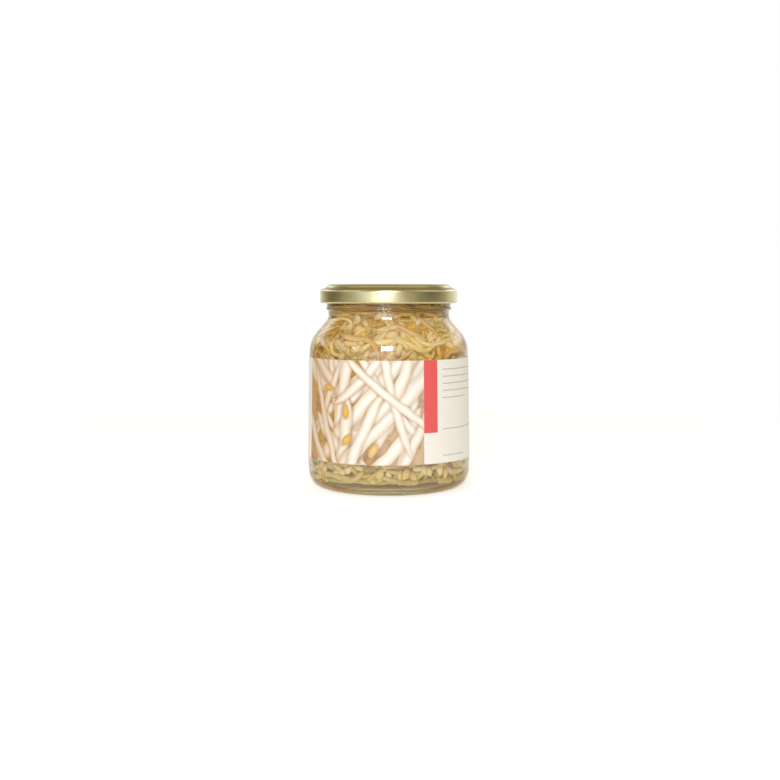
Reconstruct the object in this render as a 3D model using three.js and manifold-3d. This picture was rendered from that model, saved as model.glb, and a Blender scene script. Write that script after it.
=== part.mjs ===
// A glass jar of bean sprouts in brine, with a twist-off lid and a paper label.
// Millimetres, +Z up. The origin is on the jar's axis, on the surface that the jar stands on.
import * as THREE from "three";
import { mergeVertices } from "three/addons/utils/BufferGeometryUtils.js";
import Module from "manifold-3d";

const wasm = await Module();
wasm.setup();

// Driving dimensions of the whole
const TOTAL_HEIGHT = 101.6;
const GLASS_HEIGHT = 99.5;
const ROUND_STEPS = 40;

// Glass: foot, heel, body, shoulder and neck
const WALL = 2.5;
const BASE_THICKNESS = 3.6;
const PUSH_UP = 1.5;
const PUSH_UP_R = 24.0;
const FOOT_INNER_R = 25.0;
const FOOT_OUTER_R = 27.5;
const HEEL_HEIGHT = 13.0;
const HEEL_POWER = 3.0;
const BODY_R = 40.5;
const SHOULDER_START = { r: 39.5, z: 68.6 };
const SHOULDER_PULL = 9.6;
const NECK_PULL = 4.7;
const NECK = { r: 30.05, z: 86.2 };
const BODY_LEAN = (BODY_R - SHOULDER_START.r) / (SHOULDER_START.z - HEEL_HEIGHT);
const OUTER_STEPS = { heel: 6, shoulder: 8 };
const INNER_STEPS = { heel: 4, shoulder: 6 };

// Glass: transfer bead, finish and the four thread ramps
const BEAD = { r: 31.3, z: 89.7, half: 0.85, below: 1.3, above: 1.2 };
const FINISH_R = 30.9;
const BORE_R = 28.3;
const BORE_LOW_Z = 90.5;
const RIM_ROUND = 1.0;
const STARTS = [0, 1, 2, 3].map((i) => (i * Math.PI) / 2);
const THREAD_ARC = THREE.MathUtils.degToRad(63);
const THREAD = { r: 31.75, height: 1.5, low: 93.78, pitch: 10.0, bite: 0.6, slope: 0.35, steps: 7 };
const THREAD_FADE = 1.5;

// Lid: rolled curl, skirt, stepped shoulder, raised ring and recessed panel
const TINPLATE = 0.35;
const SKIRT_R = 34.15;
const CURL_R = 1.05;
const CURL_LOW_Z = 92.15;
const SKIRT_TOP_Z = 97.5;
const STEP = { r: 31.35, z: 99.8 };
const RING_OUTER_R = 28.3;
const RING_INNER_R = 24.6;
const PANEL_R = 23.6;
const PANEL_DROP = 1.1;
const BUTTON_R = 11.0;
const BUTTON_DROP = 0.5;
const LUG_ARC = THREE.MathUtils.degToRad(15);
const LUG_OFFSET = THREE.MathUtils.degToRad(13.5);
const LUG = { tip: 31.25, low: 92.45, high: 93.6, rise: 0.25, steps: 2 };
const LUG_ROOT_R = SKIRT_R - 1.2 * CURL_R;

// Sealing ring in the lid's channel
const SEAL = { inner: 28.15, outer: 30.8, low: 99.6, clear: 0.08 };

// Paper label, one turn with a glued overlap at the back
const LABEL = { low: 16.1, high: 65.7, paper: 0.12, glue: 0.05, overlap: 0.13 };

// Brine, a plain hole in it for the sprouts
const BRINE = { clear: 0.1, skin: 0.5, level: 94.0, floor: 0.8 };

// Sprouts: a core, and stems with hooked necks and seed heads that stand out of it
const SEED = 35;
const CORE = { depth: 5.0, low: 5.9, high: 88.0, steps: 32, rows: 8 };
const STEM = { r: 1.7, root: 0.8, sides: 5, spans: 6, shortest: 18, longer: 16, bend: 0.05 };
const ROOT_END = { dip: 4.0, share: 0.2, swell: 2.2 };
const NECK_END = { dip: 1.6, share: 0.8, hookFrom: 0.6, hook: 0.08, tighter: 0.12 };
const HEAD = { long: 4.3, wide: 3.0, thick: 2.2, sunk: 0.7, reach: 0.6, sides: 6, rows: 4 };
const SPROUT_MARGIN = 0.35;
const SPROUT_GAP = 0.2;
const TRIES = 60;
const BANDS = [
  { count: 30, low: 68, high: 87, tilt: 0.7, heads: 0.75 },
  { count: 14, low: 8, high: 15, tilt: 0.3, heads: 0.8 },
  { count: 9, low: 20, high: 62, tilt: 0.8, heads: 0.4 },
];

// Materials
const glass = new THREE.MeshStandardMaterial({
  color: 0xdfe6d8, roughness: 0.05, metalness: 0, transparent: true, opacity: 0.35,
});
const lacquer = new THREE.MeshStandardMaterial({ color: 0xb3a873, roughness: 0.3, metalness: 0.9 });
const plastisol = new THREE.MeshStandardMaterial({ color: 0xe8e4d6, roughness: 0.6, metalness: 0 });
const paper = new THREE.MeshStandardMaterial({ color: 0xf6efe2, roughness: 0.5, metalness: 0 });
const liquid = new THREE.MeshStandardMaterial({
  color: 0xd2bd7e, roughness: 0.05, metalness: 0, transparent: true, opacity: 0.3,
});
const flesh = new THREE.MeshStandardMaterial({ color: 0xd9c48a, roughness: 0.45, metalness: 0 });

// Small helpers
function point(r, z) {
  return new THREE.Vector2(r, z);
}

function arc(centre, radius, from, to, steps) {
  // Points on a circle, angles in degrees from +r towards +z
  return Array.from({ length: steps + 1 }, (_, i) => {
    const a = THREE.MathUtils.degToRad(from + ((to - from) * i) / steps);
    return point(centre.x + radius * Math.cos(a), centre.y + radius * Math.sin(a));
  });
}

function radiusAt(profile, z) {
  // Radius of a profile that climbs in z, by straight steps between its points
  const i = Math.max(1, profile.findIndex((p) => p.y >= z));
  const [a, b] = [profile[i - 1], profile[i]];
  return a.x + ((b.x - a.x) * (z - a.y)) / (b.y - a.y);
}

function turned(profile) {
  return new THREE.LatheGeometry(profile, ROUND_STEPS);
}

function upright(geometry) {
  // A lathe turns about +Y: stand it up on +Z
  return geometry.rotateX(Math.PI / 2);
}

function toSolid(geometry) {
  const bare = geometry.clone();
  bare.deleteAttribute("normal");
  bare.deleteAttribute("uv");
  const merged = mergeVertices(bare, 1e-3);
  return new wasm.Manifold(new wasm.Mesh({
    numProp: 3,
    vertProperties: new Float32Array(merged.attributes.position.array),
    triVerts: new Uint32Array(merged.index.array),
  }));
}

function toGeometry(solid) {
  const { vertProperties, triVerts } = solid.getMesh();
  const geometry = new THREE.BufferGeometry();
  geometry.setAttribute("position", new THREE.BufferAttribute(new Float32Array(vertProperties), 3));
  geometry.setIndex(new THREE.BufferAttribute(new Uint32Array(triVerts), 1));
  geometry.computeVertexNormals();
  return geometry;
}

function fuse(solids) {
  // One body: loose scraps are dropped, and hollows that the joining seals are filled
  const bodies = wasm.Manifold.union(solids).decompose();
  return toGeometry(bodies.reduce((a, b) => (b.volume() > a.volume() ? b : a)));
}

// A solid through sections with alike corners, clockwise as seen from the first section's side
function lofted(sections) {
  const count = sections[0].length;
  const index = [];
  for (let i = 0; i + 1 < sections.length; i += 1) {
    for (let j = 0; j < count; j += 1) {
      const k = (j + 1) % count;
      const [a, b, c, d] = [i * count + j, i * count + k, (i + 1) * count + k, (i + 1) * count + j];
      index.push(a, b, c, a, c, d);
    }
  }
  const last = (sections.length - 1) * count;
  for (let j = 1; j + 1 < count; j += 1) {
    index.push(0, j + 1, j, last, last + j, last + j + 1);
  }
  const geometry = new THREE.BufferGeometry();
  const flat = sections.flat().flatMap((p) => [p.x, p.y, p.z]);
  geometry.setAttribute("position", new THREE.Float32BufferAttribute(flat, 3));
  geometry.setIndex(index);
  return geometry;
}

function around(r, angle, z) {
  return new THREE.Vector3(r * Math.cos(angle), r * Math.sin(angle), z);
}

// Glass profiles
function heel(footR, bodyR, low, high, steps) {
  return Array.from({ length: steps + 1 }, (_, i) => {
    const a = (Math.PI / 2) * (i / steps);
    return point(
      footR + (bodyR - footR) * Math.sin(a) ** (2 / HEEL_POWER),
      low + (high - low) * (1 - Math.cos(a) ** (2 / HEEL_POWER)),
    );
  });
}

function shoulder(inset, steps) {
  // From the body's gentle taper through the shoulder into the upright neck
  const start = point(SHOULDER_START.r - inset, SHOULDER_START.z);
  const curve = new THREE.CubicBezierCurve(
    start,
    point(start.x - BODY_LEAN * SHOULDER_PULL, start.y + SHOULDER_PULL - inset / 2),
    point(NECK.r - inset, NECK.z - NECK_PULL - inset / 2),
    point(NECK.r - inset, NECK.z),
  );
  return curve.getPoints(steps);
}

const outerWall = [
  ...heel(FOOT_OUTER_R, BODY_R, 0, HEEL_HEIGHT, OUTER_STEPS.heel),
  ...shoulder(0, OUTER_STEPS.shoulder),
];

const innerWall = [
  ...heel(FOOT_INNER_R - 1, BODY_R - WALL, BASE_THICKNESS, HEEL_HEIGHT + 1, INNER_STEPS.heel),
  ...shoulder(WALL, INNER_STEPS.shoulder),
  point(BORE_R, BORE_LOW_Z),
  point(BORE_R, GLASS_HEIGHT - RIM_ROUND),
];

function threadRamp(start) {
  // A rib whose underside climbs with the angle, tapered into the wall at both ends
  const sections = Array.from({ length: THREAD.steps + 1 }, (_, i) => {
    const along = (THREAD_ARC * i) / THREAD.steps;
    const taper = Math.min(1, i / THREAD_FADE, (THREAD.steps - i) / THREAD_FADE);
    const tip = FINISH_R + (THREAD.r - FINISH_R) * Math.max(taper, 0.1);
    const low = THREAD.low + (THREAD.pitch * along) / (2 * Math.PI);
    const angle = start + along;
    return [
      around(FINISH_R - THREAD.bite, angle, low + THREAD.height),
      around(tip, angle, low + THREAD.height - THREAD.slope),
      around(tip, angle, low + THREAD.slope),
      around(FINISH_R - THREAD.bite, angle, low),
    ];
  });
  return toSolid(lofted(sections));
}

function glassJar() {
  const beadArc = arc(point(BEAD.r - BEAD.half, BEAD.z), BEAD.half, -70, 70, 3);
  const profile = [
    point(0, PUSH_UP),
    point(PUSH_UP_R, PUSH_UP),
    point(FOOT_INNER_R, 0),
    ...outerWall,
    point(NECK.r, BEAD.z - BEAD.below),
    ...beadArc,
    point(FINISH_R, BEAD.z + BEAD.above),
    ...arc(point(FINISH_R - RIM_ROUND, GLASS_HEIGHT - RIM_ROUND), RIM_ROUND, 0, 90, 2),
    ...arc(point(BORE_R + RIM_ROUND, GLASS_HEIGHT - RIM_ROUND), RIM_ROUND, 90, 180, 2),
    ...innerWall.slice(0, -1).reverse(),
    point(0, BASE_THICKNESS + PUSH_UP / 2),
  ];
  return fuse([toSolid(upright(turned(profile))), ...STARTS.map(threadRamp)]);
}

// Lid
function lug(start) {
  // A flat tongue that reaches in from the curl
  const sections = Array.from({ length: LUG.steps + 1 }, (_, i) => {
    const angle = start + LUG_OFFSET + LUG_ARC * (i / LUG.steps - 0.5);
    return [
      around(LUG.tip, angle, LUG.high),
      around(LUG_ROOT_R, angle, LUG.high),
      around(LUG_ROOT_R, angle, LUG.low),
      around(LUG.tip, angle, LUG.low + LUG.rise),
    ];
  });
  return toSolid(lofted(sections));
}

function lid() {
  // Outer face from the middle out and down, then the curl, then the inner face back to the middle
  const top = TOTAL_HEIGHT;
  const panel = top - PANEL_DROP;
  const curl = point(SKIRT_R - CURL_R, CURL_LOW_Z + CURL_R);
  const outside = [
    point(0, panel - BUTTON_DROP),
    point(BUTTON_R - 1.2, panel - BUTTON_DROP * 0.7),
    point(BUTTON_R, panel),
    point(PANEL_R, panel),
    point(RING_INNER_R, top),
    point(RING_OUTER_R, top),
    point(RING_OUTER_R + 1.7, top - 0.45),
    point(RING_OUTER_R + 2.6, top - 1.0),
    point(STEP.r, STEP.z),
    point(STEP.r + 1.05, STEP.z - 0.45),
    point(STEP.r + 2.05, STEP.z - 0.95),
    point(SKIRT_R - 0.2, STEP.z - 1.6),
    point(SKIRT_R, SKIRT_TOP_Z),
  ];
  const hem = arc(curl, CURL_R, 0, -270, 6);
  const inside = outside.map((p) => point(p.x > STEP.r - 1 ? p.x - TINPLATE : p.x, p.y - TINPLATE));
  const profile = [
    ...outside,
    ...hem,
    point(SKIRT_R - TINPLATE, curl.y + CURL_R + 0.2),
    ...inside.reverse(),
  ];
  return fuse([toSolid(upright(turned(profile.reverse()))), ...STARTS.map(lug)]);
}

function lidSeal() {
  const high = TOTAL_HEIGHT - TINPLATE - SEAL.clear;
  const profile = [
    point(SEAL.inner, SEAL.low + 0.5),
    point(SEAL.inner + 0.6, SEAL.low),
    point(SEAL.outer - 0.9, SEAL.low),
    point(SEAL.outer - 0.3, SEAL.low + 0.4),
    point(RING_OUTER_R + 1.2, high - 0.75),
    point(RING_OUTER_R, high),
    point(SEAL.inner, high),
    point(SEAL.inner, SEAL.low + 0.5),
  ];
  return upright(turned(profile));
}

// Label: a strip round the glass, lifted by its own thickness where it laps over itself
function label() {
  const start = Math.PI / 2;
  const glassR = (z) => BODY_R - BODY_LEAN * (z - HEEL_HEIGHT);
  const strip = (along, lift) => [
    around(glassR(LABEL.low) + lift, start + along, LABEL.low),
    around(glassR(LABEL.high) + lift, start + along, LABEL.high),
    around(glassR(LABEL.high) + lift + LABEL.paper, start + along, LABEL.high),
    around(glassR(LABEL.low) + lift + LABEL.paper, start + along, LABEL.low),
  ];
  const lapLift = LABEL.glue + LABEL.paper + LABEL.glue;
  const sections = Array.from({ length: ROUND_STEPS }, (_, i) => {
    const along = (2 * Math.PI * i) / ROUND_STEPS;
    return strip(along, LABEL.glue);
  });
  sections.push(strip(2 * Math.PI, lapLift), strip(2 * Math.PI + LABEL.overlap, lapLift));
  return lofted(sections);
}

// Brine: the liquid stands against the glass, with one plain hole for the bunch
const BRINE_BOTTOM = BASE_THICKNESS + PUSH_UP / 2 + BRINE.clear;

function brineOutline(depth, low) {
  // The wall's points, but fewer on the long shoulder
  const kept = (p, i) => i < INNER_STEPS.heel || i % 2 === 0 || p.y > SHOULDER_START.z + SHOULDER_PULL;
  const wall = innerWall.filter(kept).filter((p) => p.y > low + 0.5 && p.y < BRINE.level);
  return [
    point(0, low),
    point(radiusAt(innerWall, low) - depth, low),
    ...wall.map((p) => point(p.x - depth, p.y)),
    point(BORE_R - depth, BRINE.level),
  ];
}

const brineHole = brineOutline(BRINE.clear + BRINE.skin, BRINE_BOTTOM + BRINE.floor);

function brine() {
  const outside = brineOutline(BRINE.clear, BRINE_BOTTOM);
  return upright(turned([...outside, ...brineHole.toReversed()]));
}

// Sprouts
function randomFrom(seed) {
  let state = seed;
  return () => {
    state = (state + 0x6d2b79f5) >>> 0;
    let t = state;
    t = Math.imul(t ^ (t >>> 15), t | 1);
    t ^= t + Math.imul(t ^ (t >>> 7), t | 61);
    return ((t ^ (t >>> 14)) >>> 0) / 4294967296;
  };
}

const FLOOR_Z = BRINE_BOTTOM + BRINE.floor + SPROUT_MARGIN;

function bunchR(z) {
  // The brine's hole, on the flats between its edges
  const flat = Math.cos(Math.PI / ROUND_STEPS);
  return flat * radiusAt(brineHole, Math.min(Math.max(z, FLOOR_Z - SPROUT_MARGIN + 0.01), BRINE.level));
}

// How far out a rounded thing may sit at height z, with half its height and depth given
function room(z, tall, deep) {
  const parts = [-1, -Math.SQRT1_2, 0, Math.SQRT1_2, 1];
  const walls = parts.map((t) => bunchR(z + t * tall) - deep * Math.sqrt(1 - t * t));
  return Math.min(...walls) - SPROUT_MARGIN;
}

// A sprout's centre line runs along the wall, curls up at its neck and sinks in at both ends
function sproutPath(random, band) {
  const length = STEM.shortest + STEM.longer * random();
  const bend = (random() - 0.5) * STEM.bend;
  const hook = (random() < 0.5 ? -1 : 1) * (NECK_END.hook + NECK_END.tighter * random());
  let heading = (random() - 0.5) * Math.PI * band.tilt + (random() < 0.5 ? Math.PI : 0);
  let angle = 2 * Math.PI * random();
  let z = band.low + (band.high - band.low) * random();
  const step = length / STEM.spans;
  const points = [];
  for (let i = 0; i <= STEM.spans; i += 1) {
    const s = i / STEM.spans;
    const r = STEM.root + (STEM.r - STEM.root) * Math.min(1, ROOT_END.swell * s);
    z = Math.min(Math.max(z, FLOOR_Z + r), band.high + 1);
    const rootDip = ROOT_END.dip * Math.max(0, 1 - s / ROOT_END.share);
    const neckDip = NECK_END.dip * Math.max(0, (s - NECK_END.share) / (1 - NECK_END.share));
    const out = room(z, r, r) - rootDip - neckDip;
    points.push({ at: around(out, angle, z), r });
    heading += bend * step + (s > NECK_END.hookFrom ? hook * step : 0);
    angle += (Math.cos(heading) * step) / out;
    z += Math.sin(heading) * step;
  }
  return points;
}

// The seed's two halves as one oval, at the end of the stem and partly sunk in the bunch
function headPlace(path) {
  const end = path[path.length - 1].at;
  const along = new THREE.Vector3().subVectors(end, path[path.length - 2].at).normalize();
  const centre = end.clone().addScaledVector(along, HEAD.long * HEAD.reach);
  const outward = new THREE.Vector3(centre.x, centre.y, 0).normalize();
  along.addScaledVector(outward, -along.dot(outward)).normalize();
  const wide = new THREE.Vector3().crossVectors(along, outward);
  const tall = Math.hypot(HEAD.long * along.z, HEAD.wide * wide.z);
  const z = Math.min(Math.max(centre.z, FLOOR_Z + tall), CORE.high + 1);
  const reach = room(z, tall, HEAD.thick) - HEAD.sunk;
  centre.set(outward.x * reach, outward.y * reach, z);
  return { centre, along, outward, wide };
}

function ring(centre, along, r, sides) {
  const up = Math.abs(along.z) > 0.9 ? new THREE.Vector3(1, 0, 0) : new THREE.Vector3(0, 0, 1);
  const side = new THREE.Vector3().crossVectors(along, up).normalize();
  const over = new THREE.Vector3().crossVectors(along, side).normalize();
  return Array.from({ length: sides }, (_, i) => {
    const a = (2 * Math.PI * i) / sides;
    return centre.clone().addScaledVector(side, r * Math.cos(a)).addScaledVector(over, r * Math.sin(a));
  });
}

function stem(path) {
  const sections = path.map(({ at, r }, i) => {
    const before = path[Math.max(0, i - 1)].at;
    const after = path[Math.min(path.length - 1, i + 1)].at;
    const along = new THREE.Vector3().subVectors(after, before).normalize();
    return ring(at, along, r, STEM.sides);
  });
  return toSolid(lofted(sections));
}

function head({ centre, along, outward, wide }) {
  const oval = new THREE.SphereGeometry(1, HEAD.sides, HEAD.rows);
  const frame = new THREE.Matrix4().makeBasis(
    wide.clone().multiplyScalar(HEAD.wide),
    along.clone().multiplyScalar(HEAD.long),
    outward.clone().multiplyScalar(HEAD.thick),
  );
  return toSolid(oval.applyMatrix4(frame.setPosition(centre)));
}

function core() {
  const profile = [point(0, CORE.low)];
  for (let i = 0; i <= CORE.rows; i += 1) {
    const z = CORE.low + ((CORE.high - CORE.low) * i) / CORE.rows;
    profile.push(point(bunchR(z) - CORE.depth, z));
  }
  profile.push(point(0, CORE.high));
  return toSolid(upright(new THREE.LatheGeometry(profile, CORE.steps)));
}

// Places along a sprout that others keep clear of
function girth(path, place) {
  const beads = path.slice(1).map(({ at, r }) => ({ at, r }));
  const middles = path.slice(1).map(({ at, r }, i) => ({ at: at.clone().lerp(path[i].at, 0.5), r }));
  return [...beads, ...middles, ...(place ? [{ at: place.centre, r: HEAD.wide }] : [])];
}

function clearOf(placed, beads) {
  return beads.every((b) => placed.every((p) => b.at.distanceTo(p.at) > b.r + p.r + SPROUT_GAP));
}

function sprouts() {
  const random = randomFrom(SEED);
  const pieces = [core()];
  const placed = [];
  BANDS.forEach((band) => {
    let wanted = band.count;
    for (let i = 0; i < band.count * TRIES && wanted > 0; i += 1) {
      const path = sproutPath(random, band);
      const place = random() < band.heads ? headPlace(path) : null;
      const beads = girth(path, place);
      if (clearOf(placed, beads)) {
        placed.push(...beads);
        pieces.push(stem(path), ...(place ? [head(place)] : []));
        wanted -= 1;
      }
    }
  });
  return fuse(pieces);
}

// The assembly
function named(name, geometry, material) {
  const mesh = new THREE.Mesh(geometry, material);
  mesh.name = name;
  return mesh;
}

const jar = new THREE.Group();
jar.add(
  named("glass_jar", glassJar(), glass),
  named("lid", lid(), lacquer),
  named("lid_seal", lidSeal(), plastisol),
  named("label", label(), paper),
  named("brine", brine(), liquid),
  named("sprouts", sprouts(), flesh),
);

export default jar;
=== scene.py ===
"""A glass jar of bean sprouts in brine, with a twist-off lid and a paper label.

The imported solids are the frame. Each sub-assembly below makes the finished pieces that stand in their
nodes' places, in the same frame, and dresses them. Sizes are in millimetres and are scaled once, where
a mesh is made. The front of the label looks along -Y.
"""

import logging
import math
from dataclasses import dataclass
from enum import Enum
from typing import Callable, Sequence

import bpy
import numpy as np
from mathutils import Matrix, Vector


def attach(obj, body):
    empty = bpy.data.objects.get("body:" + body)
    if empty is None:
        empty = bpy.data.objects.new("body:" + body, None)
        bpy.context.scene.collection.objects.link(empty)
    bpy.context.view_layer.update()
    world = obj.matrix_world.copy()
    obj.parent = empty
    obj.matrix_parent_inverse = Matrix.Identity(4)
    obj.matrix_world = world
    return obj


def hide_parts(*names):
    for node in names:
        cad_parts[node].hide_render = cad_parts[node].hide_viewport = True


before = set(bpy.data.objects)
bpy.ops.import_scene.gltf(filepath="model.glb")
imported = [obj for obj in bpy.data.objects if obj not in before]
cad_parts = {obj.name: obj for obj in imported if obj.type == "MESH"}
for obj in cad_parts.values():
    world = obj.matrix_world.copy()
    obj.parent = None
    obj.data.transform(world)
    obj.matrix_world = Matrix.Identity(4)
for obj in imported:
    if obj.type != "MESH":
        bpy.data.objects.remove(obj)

MM = 0.001
Outline = list[tuple[float, float]]
Colour = tuple[float, float, float, float]
log = logging.getLogger("jar")


def printed(red: int, green: int, blue: int) -> Colour:
    """Turn a colour as a screen shows it, 0 to 255, into the light it stands for.

    Args:
        red: The red share.
        green: The green share.
        blue: The blue share.

    Returns:
        The colour in linear light, opaque.
    """
    shares = (c / 255 for c in (red, green, blue))
    linear = (c / 12.92 if c < 0.04045 else ((c + 0.055) / 1.055) ** 2.4 for c in shares)
    return (*linear, 1.0)


class Signal:
    """One output of a shader tree, which takes part in sums as a number does."""

    def __init__(self, recipe: "Recipe", socket: bpy.types.NodeSocket) -> None:
        """Keep the tree and the socket.

        Args:
            recipe: The tree that new nodes go into.
            socket: The output that this signal stands for.
        """
        self.recipe = recipe
        self.socket = socket

    def maths(self, operation: str, *others: "Signal | float", swapped: bool = False) -> "Signal":
        """Add a Math node.

        Args:
            operation: The node's operation, such as MULTIPLY.
            others: The operation's further values.
            swapped: Put this signal second, as in 1 - signal.

        Returns:
            The node's result.
        """
        values = (*others, self) if swapped else (self, *others)
        made = self.recipe.node("ShaderNodeMath", {"operation": operation}, dict(enumerate(values)))
        return Signal(self.recipe, made.outputs[0])

    def __add__(self, other: "Signal | float") -> "Signal":
        """Add."""
        return self.maths("ADD", other)

    __radd__ = __add__

    def __mul__(self, other: "Signal | float") -> "Signal":
        """Multiply."""
        return self.maths("MULTIPLY", other)

    __rmul__ = __mul__

    def __sub__(self, other: "Signal | float") -> "Signal":
        """Take the other away."""
        return self.maths("SUBTRACT", other)

    def __rsub__(self, other: float) -> "Signal":
        """Take this signal away from a number."""
        return self.maths("SUBTRACT", other, swapped=True)

    def __truediv__(self, other: "Signal | float") -> "Signal":
        """Divide."""
        return self.maths("DIVIDE", other)

    def __rtruediv__(self, other: float) -> "Signal":
        """Divide a number by this signal."""
        return self.maths("DIVIDE", other, swapped=True)

    def ramp(self, low: float, high: float, to_low: float = 0.0, to_high: float = 1.0) -> "Signal":
        """Ease from one value to another as the signal climbs.

        Args:
            low: The signal where the change starts.
            high: The signal where it ends. It may be the smaller of the two.
            to_low: The result before the change.
            to_high: The result after it.

        Returns:
            The eased value.
        """
        if low > high:
            low, high, to_low, to_high = high, low, to_high, to_low
        made = self.recipe.node(
            "ShaderNodeMapRange",
            {"interpolation_type": "SMOOTHSTEP"},
            {0: self, 1: low, 2: high, 3: to_low, 4: to_high},
        )
        return Signal(self.recipe, made.outputs[0])

    def band(self, low: float, high: float, soft: float) -> "Signal":
        """Return 1 between two values and 0 outside, with edges that ease over twice soft."""
        return self.ramp(low - soft, low + soft) * self.ramp(high + soft, high - soft)


class Recipe:
    """The node tree of one material or of the studio's light."""

    def __init__(self, tree: bpy.types.NodeTree) -> None:
        """Start from an empty tree.

        Args:
            tree: The node tree, which is cleared.
        """
        self.tree = tree
        tree.nodes.clear()

    def node(
        self,
        kind: str,
        settings: dict[str, object] | None = None,
        inputs: dict[str | int, object] | None = None,
    ) -> bpy.types.Node:
        """Add a node, set it up and feed it.

        Args:
            kind: The node's type.
            settings: Its properties. The key stops holds a colour ramp's places and colours.
            inputs: Its sockets, by name or number, with a value, a Signal or an output.

        Returns:
            The new node.
        """
        made = self.tree.nodes.new(kind)
        for name, value in (settings or {}).items():
            if name == "stops":
                self._set_stops(made.color_ramp, value)
            else:
                setattr(made, name, value)
        for key, value in (inputs or {}).items():
            source = value.socket if isinstance(value, Signal) else value
            if isinstance(source, bpy.types.NodeSocket):
                self.tree.links.new(source, made.inputs[key])
            else:
                made.inputs[key].default_value = source
        return made

    @staticmethod
    def _set_stops(ramp: bpy.types.ColorRamp, stops: Sequence[tuple[float, Colour]]) -> None:
        """Give a colour ramp its stops.

        Args:
            ramp: The ramp of a new node.
            stops: The place and colour of each stop, in order.
        """
        while len(ramp.elements) < len(stops):
            ramp.elements.new(0.5)
        for element, (place, colour) in zip(ramp.elements, stops):
            element.position = place
            element.color = colour

    def signal(
        self,
        kind: str,
        settings: dict[str, object] | None = None,
        inputs: dict[str | int, object] | None = None,
        out: int | str = 0,
    ) -> Signal:
        """Add a node as node does, and return one of its outputs as a Signal."""
        return Signal(self, self.node(kind, settings, inputs).outputs[out])

    def vector(self, operation: str, *values: object, out: int | str = 0) -> Signal:
        """Add a Vector Math node, and return one of its outputs."""
        return self.signal("ShaderNodeVectorMath", {"operation": operation}, dict(enumerate(values)), out)

    def split(self, vector: Signal | bpy.types.NodeSocket) -> tuple[Signal, Signal, Signal]:
        """Return the three parts of a vector."""
        made = self.node("ShaderNodeSeparateXYZ", None, {0: vector})
        return tuple(Signal(self, output) for output in made.outputs)

    def place(self) -> Signal:
        """Return the place on the object, in metres."""
        return self.signal("ShaderNodeTexCoord", out="Object")

    def height(self) -> Signal:
        """Return the height above the floor, in millimetres."""
        return self.split(self.place())[2] / MM

    def attribute(self, name: str) -> Signal:
        """Return a number kept on the mesh."""
        return self.signal("ShaderNodeAttribute", {"attribute_name": name}, out="Fac")

    def noise(self, where: Signal, scale: float, detail: float = 3.0, rough: float = 0.5) -> Signal:
        """Return smooth noise between 0 and 1, of a scale in waves a metre."""
        feeds = {"Vector": where, "Scale": scale, "Detail": detail, "Roughness": rough}
        return self.signal("ShaderNodeTexNoise", None, feeds)

    def blend(self, share: Signal | float, first: object, second: object, how: str = "MIX") -> Signal:
        """Mix two colours.

        Args:
            share: How much of the second is taken.
            first: A colour or a signal.
            second: A colour or a signal.
            how: The blend type.

        Returns:
            The mixed colour.
        """
        settings = {"data_type": "RGBA", "blend_type": how, "clamp_factor": True}
        return self.signal("ShaderNodeMix", settings, {0: share, 6: first, 7: second}, out=2)

    def colours(self, share: Signal, stops: Sequence[tuple[float, Colour]]) -> Signal:
        """Return a colour from a ramp."""
        return self.signal("ShaderNodeValToRGB", {"stops": stops}, {0: share})

    def bump(self, height: Signal, depth: float, strength: float = 1.0) -> Signal:
        """Return the normal of a surface raised by a height times a depth in metres."""
        feeds = {"Height": height, "Distance": depth, "Strength": strength}
        return self.signal("ShaderNodeBump", None, feeds)

    def body(self, feeds: dict[str | int, object]) -> Signal:
        """Return a Principled surface with its sockets fed."""
        return self.signal("ShaderNodeBsdfPrincipled", None, feeds)

    def finish(self, surface: Signal, volume: Signal | None = None) -> None:
        """Feed the tree's output.

        Args:
            surface: What the surface looks like.
            volume: What light does inside, if it goes in.
        """
        feeds = {"Surface": surface}
        if volume is not None:
            feeds["Volume"] = volume
        self.node("ShaderNodeOutputMaterial", None, feeds)


class Dice:
    """A seeded draw of numbers between 0 and 1, the same on every machine."""

    def __init__(self, seed: int) -> None:
        """Start from a seed."""
        self.state = seed

    def __call__(self) -> float:
        """Return the next number.

        Returns:
            A number from 0 up to 1.
        """
        mask = 0xFFFFFFFF
        self.state = (self.state + 0x6D2B79F5) & mask
        t = self.state
        t = ((t ^ (t >> 15)) * (t | 1)) & mask
        t = (t ^ (t + (((t ^ (t >> 7)) * (t | 61)) & mask))) & mask
        return (t ^ (t >> 14)) / (mask + 1)


def new_recipe(name: str) -> tuple[bpy.types.Material, Recipe]:
    """Make an empty material with its recipe.

    Args:
        name: The material's name.

    Returns:
        The material, and the recipe of its node tree.
    """
    material = bpy.data.materials.new(name)
    material.use_nodes = True
    return material, Recipe(material.node_tree)


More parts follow.
